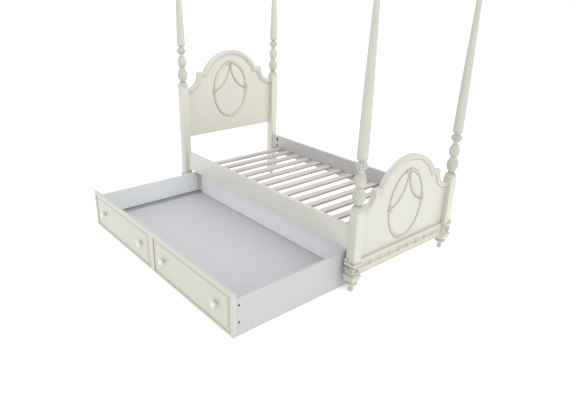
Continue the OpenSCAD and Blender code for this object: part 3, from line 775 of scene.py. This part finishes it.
# %% Build the four posts
corners = ["foot_near", "foot_far", "head_near", "head_far"]
half_block, turned_height, foot_tenon = 0.033, 0.254, 0.030
foot_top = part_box("turned_foot_foot_near")[1].z - foot_tenon
collar_mesh = turn("leafy_collar", collar_runs, 128, 1.4, upright_leaves(8, 2, 36, 4.0))
ball_mesh = turn("scaled_ball", ball_runs, 132, 1.3, scaled_ball, sharp_angle=60)
vase_mesh = turn("leafed_vase", vase_runs, 128, 1.6, upright_leaves(7, 148, 236, 4.2, 2), sharp_angle=60)
cup_mesh = turn("petal_cup", cup_runs, 120, 1.2, petal_cup)
shaft_top_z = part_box("shaft_foot_near")[1].z
post_places, shaft_meshes = {}, {}
for corner in corners:
    low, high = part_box("post_" + corner)
    x, y, block_top = (low.x + high.x) / 2, (low.y + high.y) / 2, high.z - turned_height
    post_places[corner] = (x, y, block_top)
    kind = corner.split("_")[0]
    if kind not in shaft_meshes:
        bend = 1.2 if kind == "head" else 1.45
        runs = shaft_runs((shaft_top_z - block_top) * 1000, bend)
        shaft_meshes[kind] = turn("shaft_" + kind, runs, 72, 7)
    block = eased_block("block_" + corner, (x - half_block, y - half_block, foot_top),
                        (x + half_block, y + half_block, block_top))
    stands = ["post_" + corner]
    put_in("block_" + corner, block, cream_paint, "bed_frame", stands)
    top = (x, y, block_top)
    for part, mesh in (("collar", collar_mesh), ("ball", ball_mesh), ("vase", vase_mesh)):
        put_in(f"{part}_{corner}", mesh, carved_turning, "bed_frame", stands, top)
    for part, mesh, finish in (("cup", cup_mesh, carved_turning),
                               ("tapered", shaft_meshes[kind], turned_cream)):
        put_in(f"{part}_{corner}", mesh, finish, "bed_frame", ["shaft_" + corner], top)
print("block tops:", {k: round(v[2], 3) for k, v in post_places.items()})

# %% [markdown]
# The feet are small spools under the blocks, and each shaft ends in an urn-shaped finial. The feet are
# plain turnings, so they need a good profile rather than carving, and the finials have shallow lobes.

# %% Feet and finials
foot_runs = [
    [(0, 0), (12, 0)], [(12, 0), (14, 1.5), (16.2, 6), (17, 12), (16, 19), (13.5, 25), (12.3, 29)],
    [(12.3, 29), (15, 29.5), (16.4, 31.5), (15.2, 33.5)], [(15.2, 33.5), (16, 37), (20, 42.5), (27, 48)],
    [(27, 48), (33, 52), (37, 57), (38.8, 62), (38.8, 66), (37, 70), (33.5, 72)], [(33.5, 72),
    (31.5, 73)], [(31.5, 73), (32.2, 76), (32, 82)], [(32, 82), (0, 82)]
]
foot_mesh = turn("turned_foot", foot_runs, 72, 2.0)
finial_runs = [
    [(0, 0), (13.5, 0)], [(13.5, 0), (16, 0.8), (17, 3.5), (17, 6), (15.5, 8.6)], [(15.5, 8.6),
    (11.5, 11), (10, 14), (10, 18), (12, 22)], [(12, 22), (13.5, 22.5)], [(13.5, 22.5), (17.2, 29),
    (19.6, 37), (20, 44), (18.8, 53), (15.5, 62), (11, 70), (8, 75)], [(8, 75), (9.2, 76.5), (9.2, 79),
    (7.6, 80.5)], [(7.6, 80.5), (6, 82), (6.4, 85), (7.8, 88.5), (7.4, 92.5), (5, 97), (2.2, 99.4),
    (0, 100)]
]


def finial_lobes(angle, z, r):
    return bump_between(z, 24, 73, 5) * (0.9 * np.abs(np.cos(angle * 6)) ** 0.6 - 0.6)


finial_mesh = turn("urn_finial", finial_runs, 64, 2.0, finial_lobes)
for corner, (x, y, block_top) in post_places.items():
    put_in("spool_foot_" + corner, foot_mesh, turned_cream, "bed_frame",
           ["turned_foot_" + corner], (x, y, 0))
    put_in("finial_" + corner, finial_mesh, carved_turning, "bed_frame", ["finials"],
           (x, y, shaft_top_z))
print("feet and finials in place")

# %% [markdown]
# ## The crowned mouldings
#
# The top edge of each board follows one line: flat at the post, a hollow quarter circle up to a small
# step, and then a wide arch. A real crown is routed and glued on in lengths that meet at mitres. Here
# the line can be drawn at any inset, so the moulding's section is swept along it exactly.


# %% The outline at any inset, in mm from the board's centre and above its shoulder
inner_x, scoop_r, step_rise, arch_r, arch_rise = 459.0, 110.0, 128.0, 315.0, 293.0


def crown_line(inset):
    """Points from the right-hand post over the apex to the left-hand post."""
    centre, r, top = (inner_x - 7, scoop_r), scoop_r + inset, step_rise - inset
    lean = math.asin((centre[1] - top) / r) if top < centre[1] else 0.0
    half = [(inner_x, -inset)]
    for t in np.linspace(0, 1, 19):
        a = math.radians(270) - t * (math.pi / 2 - lean)
        half.append((centre[0] + r * math.cos(a), centre[1] + r * math.sin(a)))
    half.append((half[-1][0], max(top, half[-1][1])))
    mid, ra = arch_rise - arch_r, arch_r - inset
    start = math.asin((top - mid) / ra)
    for t in np.linspace(0, 1, 31):
        a = start + t * (math.pi / 2 - start)
        half.append((ra * math.cos(a), mid + ra * math.sin(a)))
    return half + [(-u, v) for u, v in half[-2::-1]]


# Section of the moulding as (inset from the top line, depth behind the front face), in mm
crown_section = (
    [(20, 44), (1.5, 44), (0, 42.5), (0, 3.2), (0.9, 0.9), (3.2, 0), (9, 0), (9.4, 1.8), (11, 1.8)]
    + [(11 + 4.6 * (1 - math.cos(a)), 1.8 - 1.7 * math.sin(a)) for a in np.linspace(0.3, math.pi - 0.3, 7)]
    + [(20.6, 1.9), (21.4, 3.4)]
    + [(21.4 + 11.6 * math.sin(a), 3.4 + 8.6 * (1 - math.cos(a))) for a in np.linspace(0.15, math.pi / 2, 8)]
    + [(34.4, 12.0), (34.8, 13.8)]
    + [(35.2 + 4.2 * (1 - math.cos(a)), 13.8 - 2.2 * math.sin(a)) for a in np.linspace(0.3, math.pi - 0.3, 7)]
    + [(43.8, 14.2), (44.4, 17.0), (46, 17.6), (46, 21), (20, 21)]
)
print("moulding section has", len(crown_section), "corners")


# %% Sweep the section along the crown line
def swept_faces(stops, corners_each):
    """Faces between sections of corners_each points that follow each other, with both ends closed."""
    m = corners_each
    faces = [(i * m + j, i * m + (j + 1) % m, (i + 1) * m + (j + 1) % m, (i + 1) * m + j)
             for i in range(stops - 1) for j in range(m)]
    return faces + [tuple(range(m)), tuple(range((stops - 1) * m, stops * m))[::-1]]


def sweep_crown(name, shoulder, front_y):
    """The moulding's face looks towards -Y."""
    lines = [crown_line(inset) for inset, depth in crown_section]
    n, m = len(lines[0]), len(crown_section)
    vertices = [(bed_x + lines[j][i][0] * 0.001, front_y + crown_section[j][1] * 0.001,
                 shoulder + lines[j][i][1] * 0.001) for i in range(n) for j in range(m)]
    return mesh_from(name, vertices, swept_faces(n, m), 30)


shoulders, crown_depth = {}, 0.046
for board in ("headboard", "footboard"):
    low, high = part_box(board + "_crown")
    shoulder = low.z + crown_depth
    mesh = sweep_crown(board + "_moulding", shoulder, low.y)
    put_in(board + "_moulding", mesh, cream_paint, "bed_frame", [board + "_crown"])
    shoulders[board] = shoulder
    print(board, "shoulder at", round(shoulder, 3), "m, moulding has", len(mesh.polygons), "faces")

# %% [markdown]
# ## Carved ornament
#
# Flat ornament such as this is usually carved or cast from a few simple forms: a leaf with a midrib
# and lobes, a rosette, and a half-round bead. Each form is a closed shell drawn on a plane, with its
# own height, so a carving is a handful of forms placed, turned and joined into one mesh.


# %% Forms: a lobed leaf, a rosette, a bead
def leaf(root, heading, length, width, rise, curl=0.0, lobes=4):
    """A carved leaf in mm. heading and curl are in degrees; it bends by curl from root to tip."""
    rows, columns, shell = 15, 9, []
    spot, angle = np.array(root, float), math.radians(heading)
    for i in range(rows + 1):
        t = i / rows
        side = np.array([-math.sin(angle), math.cos(angle)])
        half = width / 2 * (math.sin(math.pi * min(1, 0.04 + 0.96 * t) ** 0.8) ** 0.75 + 0.03)
        half *= 1 + 0.24 * math.cos(2 * math.pi * lobes * t) * math.sin(math.pi * t)
        lift = rise * (0.62 + 0.38 * t) * min(1, (1 - t) * 6 + 0.25)
        ring = []
        for j in range(columns):
            s = -1 + 2 * j / (columns - 1)
            h = lift * (1 - s * s * 0.92) ** 0.6 - 0.34 * rise * math.exp(-((s / 0.2) ** 2))
            h += 0.12 * rise * math.cos(2 * math.pi * (lobes * t - abs(s) * 0.8)) * abs(s)
            ring.append((*(spot + side * half * s), max(h, 0.15)))
        ring += [(*(spot + side * half), -0.8), (*(spot - side * half), -0.8)]
        shell.append(ring)
        spot = spot + np.array([math.cos(angle), math.sin(angle)]) * length / rows
        angle += math.radians(curl) / rows
    return loft(shell)


def loft(rings, closed=False):
    """Joins rings of equal length into one closed shell of vertices and faces."""
    m, n = len(rings[0]), len(rings)
    vertices = [p for ring in rings for p in ring]
    faces = [(i * m + j, i * m + (j + 1) % m, ((i + 1) % n) * m + (j + 1) % m, ((i + 1) % n) * m + j)
             for i in range(n if closed else n - 1) for j in range(m)]
    if not closed:
        faces += [tuple(range(m))[::-1], tuple(range((n - 1) * m, n * m))]
    return vertices, faces


def rosette(centre, radius, rise, petals=6, turn_by=0.0):
    """A small flower with a button in the middle."""
    sides, rows = petals * 8, 9
    rings = []
    for i in range(rows + 1):
        p = 1 - i / rows
        ring = []
        for k in range(sides):
            a = 2 * math.pi * k / sides + turn_by
            wave = abs(math.cos(petals * a / 2)) ** 0.5
            edge = radius * (0.78 + 0.22 * wave)
            h = rise * ((1 - p**3) * 0.35 + 0.65 * wave * math.sin(math.pi * min(1, p * 1.05)) ** 0.7)
            if p < 0.36:
                h = rise * (0.5 + 0.5 * math.cos(p / 0.36 * math.pi / 2))
            ring.append((centre[0] + edge * p * math.cos(a), centre[1] + edge * p * math.sin(a), max(h, 0)))
        rings.append(ring)
    base = [(x, y, -0.8) for x, y, h in rings[0]]
    rings[-1] = [(centre[0] + 0.02 * math.cos(2 * math.pi * k / sides), centre[1]
                  + 0.02 * math.sin(2 * math.pi * k / sides), rise) for k in range(sides)]
    return loft([base] + rings)


def bead(points, width, rise, closed=False, strands=1, spacing=5.0, taper=0.0):
    """A rounded bead along a line, with a groove between its strands."""
    if closed:
        line = [np.array(p) for p in points]
    else:
        line = smooth_line(points, spacing)
    rings, n = [], len(line)
    for i, p in enumerate(line):
        ahead = line[(i + 1) % n if closed else min(i + 1, n - 1)]
        back = line[i - 1 if closed else max(i - 1, 0)]
        d = (ahead - back) / np.linalg.norm(ahead - back)
        side = np.array([-d[1], d[0]])
        t = i / (n - 1)
        size = 1 if closed else 1 - taper * abs(2 * t - 1) ** 3
        ring = []
        for s in np.linspace(-1, 1, 11):
            h = rise * size * math.sqrt(max(0.0, 1 - s * s))
            if strands == 2:
                h *= 0.55 + 0.45 * abs(math.sin(math.pi * s)) ** 0.5 if abs(s) < 0.5 else 1
            ring.append((*(p + side * width / 2 * size * s), max(h, 0.05)))
        ring += [(*(p + side * width / 2 * size), -0.8), (*(p - side * width / 2 * size), -0.8)]
        rings.append(ring)
    return loft(rings, closed)


def carving(name, forms, stand, finish, stands_for, body="bed_frame"):
    """Joins forms into one piece. stand(u, v, h) takes mm on the plane to metres in the frame."""
    vertices, faces = [], []
    for form_vertices, form_faces in forms:
        base = len(vertices)
        vertices += [stand(*p) for p in form_vertices]
        faces += [tuple(base + k for k in f) for f in form_faces]
    mesh = bpy.data.meshes.new(name)
    mesh.from_pydata(vertices, [], faces)
    work = bmesh.new()
    work.from_mesh(mesh)
    bmesh.ops.recalc_face_normals(work, faces=work.faces)
    work.to_mesh(mesh)
    work.free()
    shaded(mesh, 50)
    print(f"{name}: {len(forms)} forms, {len(mesh.polygons)} faces")
    return put_in(name, mesh, finish, body, stands_for)


# %% [markdown]
# ## The ovals with ribbon swags
#
# Both boards carry the same applied ornament: an oval bead, a bow at its top, a knot at each side,
# and two ribbons that hang from the bow and are caught up at the knots. Applied mouldings stand on
# the panel's face, so each form starts just inside the panel. A painted shadow line runs along both
# sides of the beads and round the knots: a lower and wider dark bead under each of them.


# %% Ovals, bows, knots and swags
def ring_line(middle, across, up, count):
    """Points round an ellipse."""
    return [(middle[0] + across * math.cos(t), middle[1] + up * math.sin(t))
            for t in np.linspace(0, 2 * math.pi, count + 1)[:-1]]


oval_line = ring_line((0, 0), 172.5, 236.5, 120)
swag_lines = {s: [(s * u, v) for u, v in [(4, 226), (12, 172), (38, 106), (84, 47), (130, 16), (166, 5)]]
              for s in (-1, 1)}


def oval_forms():
    forms = [bead(oval_line, 14, 8.5, closed=True)]
    for s in (-1, 1):
        forms.append(bead(swag_lines[s], 11, 7.0, strands=2, taper=0.25))
        for turn_to, size in ((60, 32), (120, 30), (240, 32), (300, 30)):
            forms.append(leaf((s * 172, 4), turn_to if s > 0 else 180 - turn_to, size, 14, 9.0, 10, 2))
        forms.append(rosette((s * 172, 4), 14, 11.5, 5))
        forms.append(leaf((s * 2, 238), 90 - s * 52, 40, 20, 9.5, s * -50, 1))
        forms.append(leaf((s * 2, 234), 90 - s * 128, 40, 14, 9.0, s * 46, 1))
    forms.append(rosette((0, 236), 12.5, 11.5, 5))
    return forms


def bead_shadow_forms():
    """A painted shadow line on the panel along both sides of the beads and round the knots."""
    lines = [bead(oval_line, 23, 1.6, closed=True)] + [bead(swag_lines[s], 17, 1.5) for s in (-1, 1)]
    for middle, reach in (((-172, 4), 17), ((172, 4), 17), ((0, 236), 16)):
        lines.append(bead(ring_line(middle, reach, reach, 32), 9, 1.7, closed=True))
    return lines


def on_board(face_y, centre_z):
    """Takes mm across, up and out from the ornament's middle to metres in the frame."""
    return lambda u, v, h: (bed_x + u * 0.001, face_y - h * 0.001, centre_z + v * 0.001)


apex_to_middle = 0.345
for board in ("headboard", "footboard"):
    low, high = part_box(board + "_applique")
    stand = on_board(high.y, shoulders[board] + arch_rise * 0.001 - apex_to_middle)
    # The second piece on each board is the painted shadow line along its beads.
    for part, forms, finish in (("_oval", oval_forms(), carved_cream),
                                ("_bead_shadow_line", bead_shadow_forms(), bead_shadow_paint)):
        carving(board + part, forms, stand, finish, [board + "_applique"])

# %% [markdown]
# ## The frieze across the footboard
#
# Below the footboard's panel runs a band of flowers between two moulded fillets. The band's pattern
# repeats: a rosette, leaves that spring from it above and below, and a small bud where two repeats
# meet. Even repeats let the same carving be used from post to post.

# %% Frieze board with moulded fillets
low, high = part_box("frieze_board")
frieze_low, frieze_high, back_y = low.z, high.z, high.y
frieze_section = [(0, 0), (19, 0), (20, 1), (20, 5.2), (19, 7), (17, 8), (16.4, 10), (14.6, 11.6), (14, 14),
                  (14, 89), (14.6, 91.4), (16.4, 93), (17, 95), (19, 96), (20, 97.8), (20, 101), (18.6, 103),
                  (0, 103)]
frieze_vertices = [(x, back_y - out * 0.001, frieze_low + up * 0.001)
                   for x in (low.x, high.x) for out, up in frieze_section]
count = len(frieze_section)
frieze_faces = [(k, (k + 1) % count, count + (k + 1) % count, count + k) for k in range(count)]
frieze_faces += [tuple(range(count))[::-1], tuple(range(count, 2 * count))]
put_in("frieze_moulding", mesh_from("frieze_moulding", frieze_vertices, frieze_faces, 25), cream_paint,
       "bed_frame", ["frieze_board"])


# %% Carved flowers of the frieze
def frieze_repeat(u):
    forms = [rosette((u, 0), 17, 7.0, 6)]
    for s in (-1, 1):
        for w in (-1, 1):
            heading = 42 * w if s > 0 else 180 - 42 * w
            forms.append(leaf((u + s * 10, w * 8), heading, 42, 19, 7.0, -s * w * 85, 3))
        forms.append(leaf((u + s * 14, 0), 0 if s > 0 else 180, 27, 13, 6.4, 0, 2))
    return forms


frieze_face = back_y - 0.014
middle_z = (frieze_low + frieze_high) / 2
repeat, frieze_forms = 98, []
for k in range(-4, 5):
    frieze_forms += frieze_repeat(k * repeat)
for k in range(-4, 4):
    frieze_forms.append(rosette(((k + 0.5) * repeat, 0), 8.5, 6.4, 5, 0.3))
carving("frieze_flowers", frieze_forms, on_board(frieze_face, middle_z), frieze_cream,
        ["frieze_carving"])

# %% [markdown]
# ## The carved plinths
#
# The foot of each post stands on a plinth: a moulding flares out over the turned foot, a second one
# closes the top, and between them the faces are carved. The side faces carry a tall spray of leaves
# that rises over the upper moulding. On the footboard's posts the front face also carries a flower
# between four small leaves.


# %% Mouldings round the plinths
plinth_sections = {
    "foot": [
        (0, 82.3), (3, 82.3), (5.4, 84.6), (6, 88.5), (4.6, 93.5), (4.2, 98.5), (6, 104.5), (9.6, 109),
        (12.4, 111.4), (14, 114.4), (14, 119.4), (12.8, 122.4), (10, 123.8), (9, 128), (0, 128)
    ],
    "top": [
        (0, 196), (8.4, 196), (9.6, 199), (12.6, 200.8), (14, 203.6), (14, 208), (12, 210.6), (6, 212),
        (0, 212)
    ],
}


def wrap_plinth(name, section, corner):
    """Sweeps a section of (out, height) in mm round the post's faces that show, with a mitre between them."""
    x, y, block_top = post_places[corner]
    sx = -1 if "near" in corner else 1
    vertices, m = [], len(section)
    stops = 3 if "foot" in corner else 2
    for stop in range(stops):
        for out, up in section:
            if stops == 3:
                u, v = [(33 + out, 33), (33 + out, -33 - out), (-33, -33 - out)][stop]
            else:
                u, v = [(33 + out, 33), (33 + out, -33)][stop]
            vertices.append((x + sx * u * 0.001, y + v * 0.001, up * 0.001))
    mesh = mesh_from(name, vertices, swept_faces(stops, m), 28)
    return put_in(name, mesh, plinth_carving, "bed_frame", ["plinth_carvings"])


for corner in corners:
    for part, section in plinth_sections.items():
        wrap_plinth(f"plinth_{part}_{corner}", section, corner)
print("plinth mouldings:", 2 * len(corners))


# %% Carvings on the plinths
def side_spray():
    """Leaves that rise and fall from a knot, in mm from the knot."""
    forms = [rosette((0, 0), 15, 14.5, 6)]
    for w in (-1, 1):
        forms.append(leaf((0, w * 8), 90 * w, 54 if w > 0 else 48, 26, 13.5, 0, 4))
        for s in (-1, 1):
            up = 90 * w - s * w * 34
            forms.append(leaf((s * 7, w * 8), up, 50, 23, 13.0, s * w * -38, 4))
            forms.append(leaf((s * 10, w * 3), 90 * w - s * w * 70, 32, 17, 12.0, s * w * 40, 3))
    return forms


def front_flower():
    forms = [rosette((0, 0), 18, 10, 6)]
    for w in (-1, 1):
        for s in (-1, 1):
            heading = 48 * w if s > 0 else 180 - 48 * w
            forms.append(leaf((s * 9, w * 9), heading, 32, 15, 8.5, s * w * -40, 3))
    return forms


spray_z, flower_z = 0.190, 0.162
plinth_shells = []
for corner, (x, y, block_top) in post_places.items():
    sx = -1 if "near" in corner else 1
    for vertices, faces in side_spray():
        plinth_shells.append(([(x + sx * (half_block + h * 0.001), y + u * 0.001, spray_z + v * 0.001)
                               for u, v, h in vertices], faces))
    if "foot" in corner:
        for vertices, faces in front_flower():
            plinth_shells.append(([(x + u * 0.001, y - half_block - h * 0.001, flower_z + v * 0.001)
                                   for u, v, h in vertices], faces))
carving("plinth_leaves", plinth_shells, lambda x, y, z: (x, y, z), plinth_carving,
        ["plinth_carvings"])

# %% [markdown]
# ## The trundle's front
#
# The front looks like two drawers but is one board. Each false drawer is a separate panel with a
# moulded border, set into a shallow recess, and a wide groove shows at its ends. Because the border is
# the same all round, the panel can be made of nested rectangles, one for each line of the moulding.


# %% Helper: a panel with a mitred border
def mitred_panel(name, y0, y1, z0, z1, front_x, border):
    """border is a list of (inset, depth behind the face) in mm, from the back edge to the field."""
    vertices, faces = [], []
    for inset, depth in border:
        i, x = inset * 0.001, front_x + depth * 0.001
        vertices += [(x, y0 + i, z0 + i), (x, y1 - i, z0 + i), (x, y1 - i, z1 - i), (x, y0 + i, z1 - i)]
    for k in range(len(border) - 1):
        for c in range(4):
            d = (c + 1) % 4
            faces.append((4 * k + c, 4 * k + d, 4 * k + 4 + d, 4 * k + 4 + c))
    last = 4 * (len(border) - 1)
    faces += [(3, 2, 1, 0), (last, last + 1, last + 2, last + 3)]
    return mesh_from(name, vertices, faces, 25)


# %% The false drawers
drawer_border = [
    (0, 8), (0, 3.6), (0.5, 2.9), (1.4, 2.6), (4.6, 2.6), (5.0, 3.0), (6.0, 3.1), (6.6, 2.4), (8.2, 1.2),
    (10.6, 0.7), (13.2, 1.0), (15.4, 2.0), (17.2, 3.0), (18.6, 3.4), (19.6, 3.4), (19.9, 2.6),
    (20.6, 2.2), (21.6, 2.1)
]
front_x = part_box("trundle_front")[0].x
for end in ("head", "foot"):
    low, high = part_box("false_drawer_" + end)
    groove, gap = 0.005, -0.0025
    mesh = mitred_panel("drawer_panel_" + end, low.y + groove, high.y - groove, low.z + gap, high.z - gap,
                        front_x, drawer_border)
    put_in("drawer_panel_" + end, mesh, drawer_cream, "trundle", ["false_drawer_" + end])
    print("false drawer", end, "is", round(high.y - low.y, 3), "m long")
soften("trundle_front", drawer_cream, 0.0012)

# %% [markdown]
# ## Knobs
#
# The knobs are cast metal mushrooms with flutes that sweep round the head. One profile and one wave
# that leans as it nears the middle make them. They stand on a small scalloped plate.


# %% Fluted knobs
def knob_flutes(angle, z, r):
    head = bump_between(z, 15.5, 31, 2.5) * np.clip((r - 5) / 6, 0, 1)
    plate = bump_between(z, -1, 4.5, 1)
    lean = (30 - z) * 0.05
    return head * 1.3 * (np.abs(np.cos((angle + lean) * 7)) ** 0.7 - 0.7) + plate * 0.7 * np.cos(angle * 14)


knob_runs = [
    [(0, 0), (15, 0)], [(15, 0), (15.4, 1.4), (14, 3)], [(14, 3), (10.5, 4), (8, 6.4), (7.1, 9.5),
    (8.2, 12.5)], [(8.2, 12.5), (12, 14.6), (18, 16.2), (21.6, 18), (22.6, 20.4), (21.4, 23.2),
    (17.5, 25.8)], [(17.5, 25.8), (16.4, 25.6)], [(16.4, 25.6), (13, 27.6), (8, 29.4), (0, 30)]
]
knob_mesh = turn("fluted_knob", knob_runs, 112, 1.0, knob_flutes, spin="-X")
low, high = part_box("knobs")
knob_radius, inner_knob, knob_z = 0.029, 0.160, (low.z + high.z) / 2
knob_rows = (low.y + knob_radius, bed_y - inner_knob, bed_y + inner_knob, high.y - knob_radius)
for k, y in enumerate(knob_rows):
    put_in(f"knob_{k + 1}", knob_mesh, pale_silver, "trundle", ["knobs"], (front_x, y, knob_z))
print("knobs at y", [round(y, 3) for y in knob_rows])

# %% [markdown]
# ## The drawer box, rails, slats and hardware
#
# These parts are straight boards, plates and bolts, and the CAD model already holds their real joints
# and bores. They keep their CAD shape, with their own finishes, and the boards get eased edges.

# %% Finish the CAD parts that stay
for panel in ("headboard_panel", "footboard_panel"):
    soften(panel, cream_paint, 0.0015)
for rail in ("rail_near", "rail_far"):
    soften(rail, rail_finishes[rail], 0.0015)
for strip in ("ledger_near", "ledger_far"):
    soften(strip, ledger_wood, 0.001)
slats = sorted(n for n in frame["nodes"] if n.startswith("slat_") and n != "slat_screws")
for slat in slats:
    soften(slat, slat_wood, 0.0015)
soften("trundle_side_head", head_sheet, 0.001)
soften("trundle_side_foot", box_sheet, 0.001)
soften("trundle_back", back_sheet, 0.001)
soften("box_strips", strip_sheet, 0.001)
soften("trundle_bottom", floor_sheet, 0.0006)
soften("bottom_bearers", bearer_wood, 0.001)
soften("caster_forks", zinc_plate, 0.0003)
for steel in ("rail_bolts", "rail_nuts", "slat_screws", "trundle_screws", "caster_axles"):
    soften(steel, black_steel, 0)
print(len(slats), "slats and", len(frame["nodes"]), "CAD parts in all")

# %% [markdown]
# Each caster wheel rides on its own body, because it turns as the drawer rolls. A wheel's tyre is
# rounded at its shoulders and its web is thinner than its hub, so the section is drawn with a bore.

# %% Caster wheels
wheel_runs = [
    [(3.1, -6.5), (6, -6.5)], [(6, -6.5), (6.6, -5.9), (6.9, -4.2)], [(6.9, -4.2), (10.6, -4.0)],
    [(10.6, -4.0), (11.2, -5.6), (12.4, -6.4)], [(12.4, -6.4), (14.2, -6.3), (15.5, -5.2), (16, -3.6)],
    [(16, -3.6), (16, 3.6)], [(16, 3.6), (15.5, 5.2), (14.2, 6.3), (12.4, 6.4)], [(12.4, 6.4),
    (11.2, 5.6), (10.6, 4.0)], [(10.6, 4.0), (6.9, 4.2)], [(6.9, 4.2), (6.6, 5.9), (6, 6.5)], [(6, 6.5),
    (3.1, 6.5)], [(3.1, 6.5), (3.1, -6.5)]
]
wheel_mesh = turn("caster_wheel", wheel_runs, 64, 1.5, hollow=True, spin="Y")
for wheel in ("wheel_front_foot", "wheel_front_head", "wheel_back_foot", "wheel_back_head"):
    low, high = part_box(wheel)
    body = next(b for b, o in frame["bodies"].items() if frame["nodes"][wheel].parent == o)
    put_in("tyre_" + wheel[6:], wheel_mesh, wheel_plastic, body, [wheel], (low + high) / 2)
print("four wheels in place")
